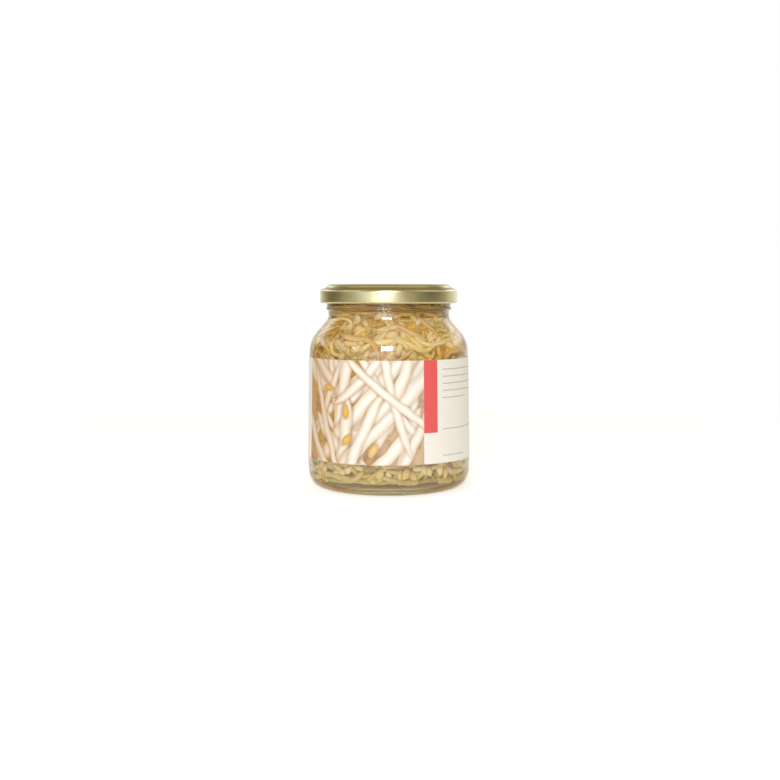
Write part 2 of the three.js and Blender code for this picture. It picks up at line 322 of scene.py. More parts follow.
@dataclass(frozen=True)
class Clear:
    """A clear body, such as glass or brine, which lets lamps reach what it holds.

    bend is how much it bends light, tint and depth are its colour and how fast that grows with
    thickness, waves and wave_height are the ripples of its surface for each metre and in millimetres,
    and pass_on is the share of lamp light that each face lets by.
    """

    name: str
    bend: float
    tint: Colour
    depth: float
    waves: float = 30.0
    wave_height: float = 0.0
    pass_on: float = 0.97

    def make(self) -> bpy.types.Material:
        """Build the material.

        Returns:
            A refracting material with a tint that grows with thickness.
        """
        material, recipe = new_recipe(self.name)
        ripple = recipe.noise(recipe.place(), self.waves, 2.0)
        surface = recipe.body(
            {
                "Base Color": (1.0, 1.0, 1.0, 1.0),
                "Roughness": 0.0,
                "IOR": self.bend,
                "Transmission Weight": 1.0,
                "Normal": recipe.bump(ripple, self.wave_height * MM),
            }
        )
        passed = {"Color": (self.pass_on, self.pass_on, self.pass_on, 1.0)}
        through = recipe.signal("ShaderNodeBsdfTransparent", None, passed)
        path = recipe.node("ShaderNodeLightPath")
        lamp = Signal(recipe, path.outputs["Is Shadow Ray"])
        soft = Signal(recipe, path.outputs["Is Diffuse Ray"])
        feeds = {0: lamp.maths("MAXIMUM", soft), 1: surface, 2: through}
        mixed = recipe.signal("ShaderNodeMixShader", None, feeds)
        thick = {"Color": self.tint, "Density": self.depth}
        recipe.finish(mixed, recipe.signal("ShaderNodeVolumeAbsorption", None, thick))
        return material


@dataclass(frozen=True)
class GoldLacquer:
    """Light olive-gold lacquer over bright tinplate."""

    name: str = "gold_lacquer"
    light: Colour = printed(232, 225, 186)
    dark: Colour = printed(222, 213, 168)
    # painted shade: the darker colour, and the heights where the curl and the groove under the raised ring
    # take it
    curl: Colour = printed(176, 154, 98)
    curl_shade_z: tuple[float, float] = (93.7, 92.7)
    groove_shade_z: tuple[float, float] = (98.85, 100.1)

    def make(self) -> bpy.types.Material:
        """Build the material.

        Returns:
            A metal whose tone and gloss drift a little, with painted shade that darkens the curl and the
            groove under the raised ring, and the lacquer's fine orange peel.
        """
        material, recipe = new_recipe(self.name)
        place = recipe.place()
        cloud = recipe.noise(place, 90.0, 4.0)
        grain = recipe.noise(place, 2600.0, 2.0)
        peel = recipe.noise(place, 900.0, 2.0)
        sheet = recipe.blend(cloud.ramp(0.3, 0.7), self.dark, self.light)
        # painted shade on the curl, turned under at the lid's lower edge
        low = recipe.height().ramp(*self.curl_shade_z)
        # painted shade in the groove under the raised ring
        groove = recipe.height().band(*self.groove_shade_z, 0.25)
        surface = recipe.body(
            {
                "Base Color": recipe.blend(low * 0.6 + groove * 0.85, sheet, self.curl),
                "Metallic": 1.0,
                "Roughness": 0.23 + 0.06 * cloud + 0.04 * grain,
                "Coat Weight": 0.4,
                "Coat Roughness": 0.1,
                "Normal": recipe.bump(peel, 0.004 * MM, 0.5),
            }
        )
        recipe.finish(surface)
        return material


@dataclass(frozen=True)
class SealingCompound:
    """Off-white compound, poured and baked in the lid's channel."""

    name: str = "sealing_compound"
    light: Colour = printed(236, 231, 216)
    dark: Colour = printed(214, 206, 186)

    def make(self) -> bpy.types.Material:
        """Build the material.

        Returns:
            A matte, slightly mottled material.
        """
        material, recipe = new_recipe(self.name)
        mottle = recipe.noise(recipe.place(), 400.0, 4.0)
        surface = recipe.body(
            {
                "Base Color": recipe.blend(mottle, self.dark, self.light),
                "Roughness": 0.5 + 0.15 * mottle,
                "Normal": recipe.bump(mottle, 0.02 * MM),
            }
        )
        recipe.finish(surface)
        return material


@dataclass(frozen=True)
class Flesh:
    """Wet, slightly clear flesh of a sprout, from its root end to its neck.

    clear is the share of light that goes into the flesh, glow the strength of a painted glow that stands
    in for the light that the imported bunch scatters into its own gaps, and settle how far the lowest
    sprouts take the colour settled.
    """

    name: str
    root: Colour
    pale: Colour
    deep: Colour
    clear: float
    painted_glow: float = 0.0
    settle: float = 0.5
    bend: float = 1.09
    soft: float = 3.5
    settled_z: tuple[float, float] = (24.0, 6.0)
    # painted shade at the neck under the lid: the heights where it starts and is full
    neck_shade_z: tuple[float, float] = (79.0, 88.0)
    painted_glow_colour: Colour = (1.0, 0.8, 0.24, 1.0)
    settled: Colour = printed(150, 147, 66)
    # painted shade at the neck under the lid: its darker brown
    neck_shade: Colour = printed(172, 134, 46)

    def make(self) -> bpy.types.Material:
        """Build the material.

        Returns:
            A soft material whose tone differs from sprout to sprout and from patch to patch, with a painted
            glow and painted shade in patches at the neck. It bends light little, as wet flesh does in
            brine.
        """
        material, recipe = new_recipe(self.name)
        place = recipe.place()
        height = recipe.height()
        tone = recipe.attribute("tone")
        along = recipe.attribute("along")
        cloud = recipe.noise(place, 260.0, 4.0, 0.6)
        fine = recipe.noise(place, 1500.0, 3.0)
        mixed = (0.6 * tone + 0.55 * cloud - 0.08).ramp(0.1, 0.9)
        body = recipe.blend(mixed, self.pale, self.deep)
        ends = recipe.blend(along.ramp(0.16, 0.0) * 0.8, body, self.root)
        patch = recipe.noise(place, 75.0, 2.0)
        ends = recipe.blend(patch.ramp(0.5, 0.66) * 0.5, ends, self.root)
        low = height.ramp(*self.settled_z)
        ends = recipe.blend(low * self.settle, ends, self.settled)
        # painted shade: sprouts at the neck, under the lid, darken towards brown in patches
        ends = recipe.blend(height.ramp(*self.neck_shade_z) * (0.15 + 0.65 * patch), ends, self.neck_shade)
        surface = recipe.body(
            {
                "Base Color": recipe.blend(fine.ramp(0.55, 0.8) * 0.25, ends, self.deep),
                "Roughness": 0.36 + 0.2 * cloud,
                "IOR": self.bend,
                "Subsurface Weight": self.clear,
                "Subsurface Radius": (1.0, 0.85, 0.68),
                "Subsurface Scale": self.soft * MM,
                # painted glow: light given off in place of light scattered in the brine, weaker towards the
                # bottom
                "Emission Color": recipe.blend(low * 0.6, self.painted_glow_colour, (0.0, 0.0, 0.0, 1.0)),
                "Emission Strength": self.painted_glow,
                "Normal": recipe.bump(cloud + 0.35 * fine, 0.12 * MM, 0.7),
            }
        )
        recipe.finish(surface)
        return material


@dataclass(frozen=True)
class Print:
    """Where the label's printed fields lie: millimetres right of the front and above the lower edge.

    Each rule has its height, its start and its end.
    """

    picture: tuple[float, float] = (-49.0, 17.2)
    block: tuple[float, float] = (17.2, 24.8)
    block_low: float = 14.9
    rules: tuple[tuple[float, float, float], ...] = (
        (44.8, 28.0, 62.0),
        (41.4, 28.0, 55.0),
        (38.0, 28.0, 60.0),
        (34.6, 28.0, 57.0),
        (31.2, 28.0, 48.0),
        (16.2, 28.0, 60.0),
        (3.4, 28.0, 44.0),
        (42.0, 76.0, 112.0),
        (38.0, 76.0, 108.0),
        (34.0, 76.0, 111.0),
        (30.0, 76.0, 96.0),
        (20.0, 76.0, 109.0),
        (16.0, 76.0, 112.0),
        (12.0, 76.0, 90.0),
        (40.0, -108.0, -66.0),
        (34.0, -108.0, -72.0),
        (28.0, -108.0, -84.0),
        (12.0, -108.0, -70.0),
    )
    rule_width: float = 0.42


@dataclass(frozen=True)
class Strokes:
    """How the printed stalks and seeds are scattered, in millimetres and degrees."""

    seed: int = 5
    stalks: int = 34
    across: tuple[float, float] = (-47.0, 16.0)
    width: tuple[float, float] = (1.7, 3.5)
    length: tuple[float, float] = (22.0, 52.0)
    lean: tuple[float, float] = (36.0, 80.0)
    bow: float = 2.8
    sway: float = 1.3
    sway_waves: float = 0.09
    seeds: int = 8
    seed_size: tuple[float, float] = (3.6, 1.7)


@dataclass(frozen=True)
class PrintedPaper:
    """Coated paper with a print of pale stalks over tan, a red block and a plain panel with thin rules."""

    name: str = "label_paper"
    paper: Colour = printed(234, 229, 219)
    stalk: Colour = printed(238, 232, 221)
    stalk_edge: Colour = printed(206, 170, 114)
    gap: Colour = printed(190, 146, 84)
    gap_dark: Colour = printed(130, 86, 32)
    seed: Colour = printed(228, 184, 72)
    red: Colour = printed(223, 82, 82)
    ink: Colour = printed(110, 106, 100)
    length: float = 0.0
    front: float = 0.0
    height: float = 0.0
    fields: Print = Print()
    strokes: Strokes = Strokes()

    def _stalk(self, recipe: Recipe, spot: Signal, under: Signal, dice: Dice, share: float) -> Signal:
        """Print one bowed stalk over what is printed under it.

        Args:
            recipe: The label's tree.
            spot: The place on the sheet in millimetres.
            under: The colour so far.
            dice: The draw of numbers.
            share: How far from the first stalk to the last this one comes.

        Returns:
            The colour with the stalk and its soft shadow.
        """
        marks = self.strokes
        low, high = marks.across
        centre = (low + (high - low) * ((share * 7.0 + 0.3 * dice()) % 1), self.height * dice(), 0.0)
        lean = marks.lean[0] + (marks.lean[1] - marks.lean[0]) * dice()
        lean = math.radians(lean if dice() < 0.5 else 180 - lean)
        size = (
            marks.length[0] + (marks.length[1] - marks.length[0]) * dice(),
            marks.width[0] + (marks.width[1] - marks.width[0]) * dice(),
            1.0,
        )
        feeds = {"Vector": spot, "Location": centre, "Rotation": (0.0, 0.0, lean), "Scale": size}
        local = recipe.signal("ShaderNodeMapping", {"vector_type": "TEXTURE"}, feeds)
        run, side, _ = recipe.split(local)
        square = run * run
        ends = square * square
        reach = (side - square * (marks.bow * 2 * (dice() - 0.5))).maths("ABSOLUTE") + ends * ends
        feeds = {"Vector": local, "Scale": 1.6, "Detail": 2.0}
        streak = recipe.signal("ShaderNodeTexNoise", {"noise_dimensions": "2D"}, feeds)
        darker = recipe.blend(reach.ramp(1.8, 0.85) * 0.5, under, self.gap_dark)
        tone = recipe.blend(reach.ramp(0.1, 1.05) * (0.2 + 1.1 * streak), self.stalk, self.stalk_edge)
        return recipe.blend(reach.ramp(1.1, 0.86), darker, tone)

    def _seed(self, recipe: Recipe, spot: Signal, under: Signal, dice: Dice) -> Signal:
        """Print one yellow seed head.

        Args:
            recipe: The label's tree.
            spot: The place on the sheet in millimetres.
            under: The colour so far.
            dice: The draw of numbers.

        Returns:
            The colour with the seed head and its soft shadow.
        """
        low, high = self.strokes.across
        long, wide = self.strokes.seed_size
        feeds = {
            "Vector": spot,
            "Location": (low + (high - low) * 0.8 * dice(), self.height * (0.08 + 0.84 * dice()), 0.0),
            "Rotation": (0.0, 0.0, math.pi * dice()),
            "Scale": (long, wide, 1.0),
        }
        local = recipe.signal("ShaderNodeMapping", {"vector_type": "TEXTURE"}, feeds)
        near = recipe.vector("LENGTH", local, out="Value")
        shadow = recipe.blend(near.ramp(1.5, 0.8) * 0.5, under, self.gap_dark)
        tone = recipe.blend(near.ramp(0.1, 1.0) * 0.7, self.seed, self.gap)
        return recipe.blend(near.ramp(1.05, 0.92), shadow, tone)

    def _picture(self, recipe: Recipe, x: Signal, y: Signal) -> Signal:
        """Print the field of stalks, which pales towards its right.

        Args:
            recipe: The label's tree.
            x: The way right of the front, in millimetres.
            y: The height above the label's lower edge.

        Returns:
            The picture's colour.
        """
        marks = self.strokes
        flat = recipe.signal("ShaderNodeCombineXYZ", None, {0: x, 1: y, 2: 0.0})
        cloud = recipe.noise(flat, 0.16, 3.0)
        feeds = {"Vector": flat, "Scale": marks.sway_waves, "Detail": 1.0}
        drift = recipe.signal("ShaderNodeTexNoise", None, feeds, out="Color")
        drift = recipe.vector("SUBTRACT", drift, (0.5, 0.5, 0.5))
        spot = recipe.vector("MULTIPLY_ADD", drift, (marks.sway * 2,) * 3, flat)
        colour = recipe.blend(cloud.ramp(0.42, 0.68), self.gap, self.gap_dark)
        dice = Dice(marks.seed)
        seeded = {round((i + 0.6) * marks.stalks / marks.seeds) for i in range(marks.seeds)}
        for number in range(marks.stalks):
            colour = self._stalk(recipe, spot, colour, dice, number / marks.stalks)
            if number in seeded:
                colour = self._seed(recipe, spot, colour, dice)
        colour = recipe.blend(x.ramp(-16.0, -38.0) * 0.42, colour, self.gap)
        return recipe.blend(x.ramp(-24.0, 12.0) * 0.26, colour, self.paper)

    def _panel(self, recipe: Recipe, x: Signal, y: Signal) -> Signal:
        """Print the plain panel with its thin rules.

        Args:
            recipe: The label's tree.
            x: The way right of the front, in millimetres.
            y: The height above the label's lower edge.

        Returns:
            The panel's colour.
        """
        colour: Signal | Colour = self.paper
        for height, start, end in self.fields.rules:
            rule = y.band(height, height + self.fields.rule_width, 0.08) * x.band(start, end, 0.1)
            colour = recipe.blend(rule * 0.55, colour, self.ink)
        return colour

    def make(self) -> bpy.types.Material:
        """Build the material.

        Returns:
            The printed paper, with a soft sheen, fibres and slightly warm edges.
        """
        material, recipe = new_recipe(self.name)
        chart = recipe.node("ShaderNodeUVMap", {"uv_map": "sheet"})
        across, up, _ = recipe.split(chart.outputs[0])
        x = across * self.length - self.front
        y = up * self.height
        colour = self._panel(recipe, x, y)
        picture = x.band(*self.fields.picture, 0.05)
        colour = recipe.blend(picture, colour, self._picture(recipe, x, y))
        above = y.ramp(self.fields.block_low - 0.06, self.fields.block_low + 0.06)
        colour = recipe.blend(x.band(*self.fields.block, 0.06) * above, colour, self.red)
        edge = y.ramp(0.5, 0.0).maths("MAXIMUM", y.ramp(self.height - 0.4, self.height))
        colour = recipe.blend(edge * 0.25, colour, self.gap)
        fibre = recipe.noise(recipe.place(), 1900.0, 3.0)
        surface = recipe.body(
            {
                "Base Color": recipe.blend(fibre * 0.05, colour, self.stalk_edge),
                "Roughness": 0.42 + 0.12 * fibre,
                "Normal": recipe.bump(fibre, 0.01 * MM, 0.5),
            }
        )
        recipe.finish(surface)
        return material


def deselect() -> None:
    """Leave edit mode and deselect everything."""
    if bpy.context.mode != "OBJECT":
        bpy.ops.object.mode_set(mode="OBJECT")
    bpy.ops.object.select_all(action="DESELECT")


def settle(name: str) -> bpy.types.Object:
    """Take the active object out of edit mode, with its place in its mesh, and name it.

    Args:
        name: The piece's name.

    Returns:
        The object.
    """
    if bpy.context.mode != "OBJECT":
        bpy.ops.object.mode_set(mode="OBJECT")
    bpy.ops.object.transform_apply(location=True, rotation=True, scale=True)
    made = bpy.context.object
    made.name = name
    made.data.name = name
    return made


def apply_modifier(piece: bpy.types.Object, kind: str, **settings: object) -> None:
    """Add a modifier, set it and apply it.

    Args:
        piece: The object.
        kind: The modifier's type.
        settings: Its properties.
    """
    modifier = piece.modifiers.new(kind.title(), kind)
    for key, value in settings.items():
        setattr(modifier, key, value)
    deselect()
    piece.select_set(True)
    bpy.context.view_layer.objects.active = piece
    bpy.ops.object.modifier_apply(modifier=modifier.name)


def turned(name: str, outline: Outline, steps: int, smooth: float = 180.0) -> bpy.types.Object:
    """Draw an outline by extruding one point, and spin it round the jar's axis.

    Args:
        name: The piece's name.
        outline: Radius and height pairs in millimetres, from the axis back to it or closed on itself.
        steps: How many steps the spin takes.
        smooth: The angle in degrees up to which edges are shaded smooth.

    Returns:
        The closed piece.
    """
    deselect()
    bpy.ops.mesh.primitive_plane_add(size=MM)
    bpy.ops.object.mode_set(mode="EDIT")
    bpy.ops.mesh.select_all(action="SELECT")
    bpy.ops.mesh.merge(type="CENTER")
    bpy.ops.transform.translate(value=(outline[0][0] * MM, 0.0, outline[0][1] * MM))
    for before, after in zip(outline, outline[1:]):
        move = ((after[0] - before[0]) * MM, 0.0, (after[1] - before[1]) * MM)
        bpy.ops.mesh.extrude_region_move(TRANSFORM_OT_translate={"value": move})
    bpy.ops.mesh.select_all(action="SELECT")
    round_axis = {"center": (0, 0, 0), "axis": (0, 0, 1)}
    bpy.ops.mesh.spin(steps=steps, angle=math.tau, use_auto_merge=True, **round_axis)
    bpy.ops.mesh.select_all(action="SELECT")
    bpy.ops.mesh.remove_doubles(threshold=0.004 * MM)
    bpy.ops.mesh.normals_make_consistent(inside=False)
    made = settle(name)
    bpy.ops.object.shade_smooth_by_angle(angle=math.radians(smooth))
    return made


def arc(centre: tuple[float, float], radius: float, start: float, end: float, steps: int) -> Outline:
    """Return points on a circle, with angles in degrees from outward towards up."""
    angles = [math.radians(start + (end - start) * i / steps) for i in range(steps + 1)]
    return [(centre[0] + radius * math.cos(a), centre[1] + radius * math.sin(a)) for a in angles]


def rounded(corners: Sequence[tuple[float, float, float]], steps: int = 6) -> Outline:
    """Round an open outline's corners.

    Args:
        corners: Radius, height and how far from the corner the rounding starts, in millimetres.
        steps: Points to each rounding.

    Returns:
        The outline with its corners replaced by curves.
    """
    points: Outline = [corners[0][:2]]
    for before, corner, after in zip(corners, corners[1:], corners[2:]):
        here = Vector(corner[:2])
        back, ahead = Vector(before[:2]) - here, Vector(after[:2]) - here
        reach = min(corner[2], back.length * 0.49, ahead.length * 0.49)
        if reach <= 0:
            points.append(tuple(here))
            continue
        start, end = here + back.normalized() * reach, here + ahead.normalized() * reach
        for i in range(steps + 1):
            t = i / steps
            points.append(tuple(start * (1 - t) ** 2 + here * 2 * t * (1 - t) + end * t * t))
    points.append(corners[-1][:2])
    return points


def height_steps(radius: float, low: float, high: float, step: float) -> Outline:
    """Return points up a straight wall, evenly spaced."""
    count = max(1, round((high - low) / step))
    return [(radius, low + (high - low) * i / count) for i in range(count + 1)]


def radius_at(outline: Outline, height: float) -> float:
    """Return the radius of an outline that climbs, by straight steps between its points.

    Args:
        outline: Radius and height pairs, upwards.
        height: The height to read it at.

    Returns:
        The radius.
    """
    above = next((i for i, (_, z) in enumerate(outline) if z >= height), -1)
    index = max(1, above)
    (r0, z0), (r1, z1) = outline[index - 1], outline[index]
    return r0 + (r1 - r0) * (height - z0) / (z1 - z0)


@dataclass
class GlassJar:
    """The glass: foot, heel, body, shoulder, neck, bead and finish, with its thread ramps.

    Names that end in r are radii, those that end in z or low are heights above the floor.
    """

    height: float = 99.5
    wall: float = 2.5
    base: float = 3.6
    push_up: float = 1.5
    push_up_r: float = 24.0
    foot_inner: float = 25.0
    foot_outer: float = 27.5
    heel_height: float = 13.0
    heel_power: float = 3.0
    body_r: float = 40.5
    shoulder_r: float = 39.5
    shoulder_z: float = 68.6
    shoulder_pull: float = 9.6
    neck_pull: float = 4.7
    neck_r: float = 30.05
    neck_z: float = 86.2
    bead_r: float = 31.3
    bead_z: float = 89.7
    bead_half: float = 0.85
    finish_r: float = 30.9
    bore_r: float = 28.3
    bore_z: float = 90.5
    rim_round: float = 1.0
    starts: int = 4
    thread_r: float = 31.75
    thread_height: float = 1.5
    thread_arc: float = math.radians(63)
    thread_low: float = 93.78
    thread_clear: float = 93.2
    thread_pitch: float = 10.0
    steps: int = 160

    @property
    def lean(self) -> float:
        """How fast the body narrows with height."""
        return (self.body_r - self.shoulder_r) / (self.shoulder_z - self.heel_height)

    def body_radius(self, height: float) -> float:
        """Return the straight body's outer radius at a height."""
        return self.body_r - self.lean * (height - self.heel_height)

    def heel(self, foot: float, body: float, low: float, high: float, steps: int) -> Outline:
        """Return the rounded heel from the foot up to the body.

        Args:
            foot: The radius where it starts.
            body: The radius where it ends.
            low: The height where it starts.
            high: The height where it ends.
            steps: How many steps it takes.

        Returns:
            The heel, upwards.
        """
        power = 2 / self.heel_power
        points = []
        for i in range(steps + 1):
            a = math.pi / 2 * i / steps
            rise = 1 - max(math.cos(a), 0.0) ** power
            points.append((foot + (body - foot) * math.sin(a) ** power, low + (high - low) * rise))
        return points

    def shoulder(self, inset: float, steps: int) -> Outline:
        """Return the shoulder, from the body's taper into the upright neck.

        Args:
            inset: How far inside the glass's outer face it lies.
            steps: How many steps it takes.

        Returns:
            The shoulder, upwards.
        """
        pulled = self.shoulder_r - inset - self.lean * self.shoulder_pull
        knots = [
            Vector((self.shoulder_r - inset, self.shoulder_z)),
            Vector((pulled, self.shoulder_z + self.shoulder_pull - inset / 2)),
            Vector((self.neck_r - inset, self.neck_z - self.neck_pull - inset / 2)),
            Vector((self.neck_r - inset, self.neck_z)),
        ]
        points = []
        for i in range(steps + 1):
            t = i / steps
            weights = ((1 - t) ** 3, 3 * t * (1 - t) ** 2, 3 * t * t * (1 - t), t**3)
            points.append(tuple(sum((k * w for k, w in zip(knots, weights)), Vector((0, 0)))))
        return points

    def inner_wall(self, heel_steps: int = 18, shoulder_steps: int = 28) -> Outline:
        """Return the wall that the contents stand against.

        Args:
            heel_steps: How many steps the heel takes.
            shoulder_steps: How many steps the shoulder takes.

        Returns:
            The wall, upwards.
        """
        wide = self.body_r - self.wall
        return [
            *self.heel(self.foot_inner - 1, wide, self.base, self.heel_height + 1, heel_steps),
            *self.shoulder(self.wall, shoulder_steps),
            (self.bore_r, self.bore_z),
            (self.bore_r, self.height - self.rim_round),
        ]

    def outline(self) -> Outline:
        """Return the whole section, from the axis under the base to the axis inside it.

        Returns:
            The section, closed by the axis.
        """
        under = rounded(
            [
                (0.0, self.push_up, 0.0),
                (self.push_up_r - 1.5, self.push_up, 2.0),
                (self.foot_inner - 0.2, 0.0, 0.8),
                (self.foot_outer, 0.0, 0.0),
            ]
        )
        bead = arc((self.bead_r - self.bead_half, self.bead_z), self.bead_half, -75, 75, 12)
        neck = rounded(
            [(self.neck_r, self.neck_z, 0.0), (self.neck_r, self.bead_z - 1.3, 0.6), (*bead[0], 0.0)]
        )
        lip = rounded(
            [
                (*bead[-1], 0.0),
                (self.finish_r, self.bead_z + 1.1, 0.4),
                (self.finish_r, self.thread_clear, 0.0),
            ]
        )
        rim_z = self.height - self.rim_round
        finish = height_steps(self.finish_r, self.thread_clear, rim_z, 0.24)
        rim = [
            *arc((self.finish_r - self.rim_round, rim_z), self.rim_round, 0, 90, 8),
            *arc((self.bore_r + self.rim_round, rim_z), self.rim_round, 90, 180, 8),
        ]
        inner = self.inner_wall()[:-1]
        return [
            *under[:-1],
            *self.heel(self.foot_outer, self.body_r, 0.0, self.heel_height, 26),
            *self.shoulder(0.0, 36),
            *neck[1:-1],
            *bead,
            *lip[1:-1],
            *finish,
            *rim[1:],
            *inner[::-1],
            (0.0, self.base + self.push_up / 2),
        ]

    def _raise_thread(self, piece: bpy.types.Object) -> None:
        """Raise the four ramps out of the finish.

        Args:
            piece: The glass, whose points on the finish are moved outwards.
        """
        rim_z = self.height - self.rim_round
        for vertex in piece.data.vertices:
            x, y, z = (c / MM for c in vertex.co)
            r = math.hypot(x, y)
            if not self.thread_clear + 0.1 < z < rim_z or abs(r - self.finish_r) > 0.05:
                continue
            turn = math.tau / self.starts
            angle = math.atan2(y, x) % turn
            low = self.thread_low + self.thread_pitch * angle / math.tau
            ends = min(angle, self.thread_arc - angle) / math.radians(9)
            sides = min(z - low, low + self.thread_height - z) / 0.35
            share = max(0.0, min(1.0, ends)) * max(0.0, min(1.0, sides))
            grown = (r + (self.thread_r - self.finish_r) * share) / r
            vertex.co.x *= grown
            vertex.co.y *= grown

    def build(self) -> list[bpy.types.Object]:
        """Make the glass and dress it.

        Returns:
            The one piece.
        """
        piece = turned("jar_glass", self.outline(), self.steps)
        self._raise_thread(piece)
        glass = Clear("clear_glass", 1.5, printed(202, 218, 160), 38.0, waves=55.0, wave_height=0.05)
        piece.data.materials.append(glass.make())
        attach(piece, "jar")
        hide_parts("glass_jar")
        return [piece]


@dataclass
class TwistOffLid:
    """The lid: recessed panel with its button, raised ring, stepped shoulder, skirt, curl and lugs."""

    top: float = 101.6
    sheet: float = 0.3
    skirt_r: float = 34.15
    curl_r: float = 1.05
    curl_low: float = 92.15
    step_r: float = 31.35
    step_z: float = 99.8
    ring_outer: float = 28.3
    ring_inner: float = 24.6
    panel_r: float = 23.6
    panel_drop: float = 1.1
    button_r: float = 11.0
    button_drop: float = 0.5
    lugs: int = 4
    lug_offset: float = math.radians(13.5)
    lug_arc: float = math.radians(15)
    lug_tip: float = 31.25
    lug_low: float = 92.45
    lug_high: float = 93.6
    steps: int = 160

    def outline(self) -> Outline:
        """Return the sheet's outer face, from the axis out, down the skirt and round the curl.

        Returns:
            The face, to which the sheet's thickness is added inwards.
        """
        top, panel = self.top, self.top - self.panel_drop
        face = rounded(
            [
                (0.0, panel - self.button_drop, 0.0),
                (self.button_r - 3.0, panel - self.button_drop * 0.8, 3.0),
                (self.button_r, panel, 0.7),
                (self.panel_r, panel, 0.6),
                (self.ring_inner, top, 0.6),
                (self.ring_outer, top, 0.6),
                (self.ring_outer + 1.8, top - 0.5, 0.5),
                (self.step_r - 0.45, self.step_z + 0.8, 0.3),
                (self.step_r + 0.05, self.step_z + 0.1, 0.2),
                (self.step_r + 0.75, self.step_z - 0.3, 0.3),
                (self.skirt_r - 0.8, self.step_z - 0.6, 0.4),
                (self.skirt_r - 0.2, self.step_z - 1.15, 0.35),
                (self.skirt_r, self.step_z - 1.7, 0.3),
                (self.skirt_r, self.curl_low + self.curl_r, 0.0),
            ]
        )
        curl = (self.skirt_r - self.curl_r, self.curl_low + self.curl_r)
        return [*face[:-1], *arc(curl, self.curl_r, 0, -290, 24)]

    def _lug(self, number: int) -> bpy.types.Object:
        """Make one lug, pressed in from the curl.

        Args:
            number: Which of the lugs, counted round the lid.

        Returns:
            The lug, bent to the lid's round.
        """
        deselect()
        root = self.skirt_r - 1.3 * self.curl_r
        deep, tall = root - self.lug_tip, self.lug_high - self.lug_low
        middle, middle_z = (self.lug_tip + root) / 2, (self.lug_high + self.lug_low) / 2
        bpy.ops.mesh.primitive_cube_add(size=1.0)
        bpy.ops.object.mode_set(mode="EDIT")
        bpy.ops.mesh.subdivide(number_cuts=5)
        bpy.ops.transform.resize(value=(deep * MM, self.lug_arc, tall * MM))
        bpy.ops.transform.translate(value=(middle * MM, 0.0, middle_z * MM))
        lug = settle(f"lug_{number}")
        start = number * math.tau / self.lugs + self.lug_offset
        for vertex in lug.data.vertices:
            r, a = vertex.co.x, vertex.co.y
            inward = (root * MM - r) / (deep * MM)
            pinch = 1 - 0.35 * inward * (abs(a) / (self.lug_arc / 2)) ** 4
            r = root * MM - (root * MM - r) * pinch
            vertex.co.z += 0.25 * MM * inward * (vertex.co.z < middle_z * MM)
            vertex.co.x, vertex.co.y = r * math.cos(start + a), r * math.sin(start + a)
        return lug

    def build(self) -> list[bpy.types.Object]:
        """Make the lid with its lugs and dress it.

        Returns:
            The one piece.
        """
        lugs = [self._lug(i) for i in range(self.lugs)]
        piece = turned("lid_shell", self.outline(), self.steps)
        apply_modifier(piece, "SOLIDIFY", thickness=self.sheet * MM, offset=-1.0, use_even_offset=True)
        deselect()
        for part in (*lugs, piece):
            part.select_set(True)
        bpy.context.view_layer.objects.active = piece
        bpy.ops.object.join()
        bpy.ops.object.shade_smooth_by_angle(angle=math.radians(50))
        piece.data.materials.clear()
        piece.data.materials.append(GoldLacquer().make())
        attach(piece, "closure")
        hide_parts("lid")
        return [piece]


@dataclass
class SealRing:
    """The ring of sealing compound in the lid's channel."""

    inner: float = 28.15
    outer: float = 30.55
    low: float = 99.6
    high: float = 101.15
    steps: int = 128

    def build(self) -> list[bpy.types.Object]:
        """Make the ring and dress it.

        Returns:
            The one piece.
        """
        outline = rounded(
            [
                ((self.inner + self.outer) / 2, self.low + 0.12, 0.0),
                (self.outer - 0.2, self.low, 0.5),
                (self.outer, self.high - 1.0, 0.5),
                (self.inner + 0.6, self.high, 0.5),
                (self.inner, self.high, 0.3),
                (self.inner, self.low, 0.5),
                ((self.inner + self.outer) / 2, self.low + 0.12, 0.0),
            ]
        )
        piece = turned("seal_ring", outline, self.steps)
        piece.data.materials.append(SealingCompound().make())
        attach(piece, "seal_ring")
        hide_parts("lid_seal")
        return [piece]


@dataclass
class PaperLabel:
    """The label: a sheet wrapped round the glass, lapped over itself at the back."""

    glass: GlassJar
    low: float = 16.1
    high: float = 65.7
    paper: float = 0.12
    glue: float = 0.05
    overlap: float = 0.13
    lap_run: float = math.radians(9)
    columns: int = 300
    rows: int = 20

    def build(self) -> list[bpy.types.Object]:
        """Make the sheet, wrap it and dress it.

        Returns:
            The one piece.
        """
        turn = math.tau + self.overlap
        deselect()
        bpy.ops.mesh.primitive_grid_add(x_subdivisions=self.columns, y_subdivisions=self.rows, size=1.0)
        piece = settle("paper_label")
        piece.data.uv_layers[0].name = "sheet"
        for vertex in piece.data.vertices:
            along = (vertex.co.x + 0.5) * turn
            z = self.low + (vertex.co.y + 0.5) * (self.high - self.low)
            lapped = max(0.0, min(1.0, (along - math.tau + self.lap_run) / self.lap_run))
            lapped = lapped * lapped * (3 - 2 * lapped)
            lift = self.glue + lapped * (self.paper + self.glue)
            r = self.glass.body_radius(z) + lift
            angle = math.pi / 2 + along
            vertex.co = (r * math.cos(angle) * MM, r * math.sin(angle) * MM, z * MM)
        apply_modifier(piece, "SOLIDIFY", thickness=self.paper * MM, offset=1.0, use_even_offset=True)
        bpy.ops.object.shade_smooth_by_angle(angle=math.radians(40))
        radius = self.glass.body_radius((self.low + self.high) / 2)
        paper = PrintedPaper(length=turn * radius, front=math.pi * radius, height=self.high - self.low)
        piece.data.materials.append(paper.make())
        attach(piece, "jar")
        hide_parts("label")
        return [piece]


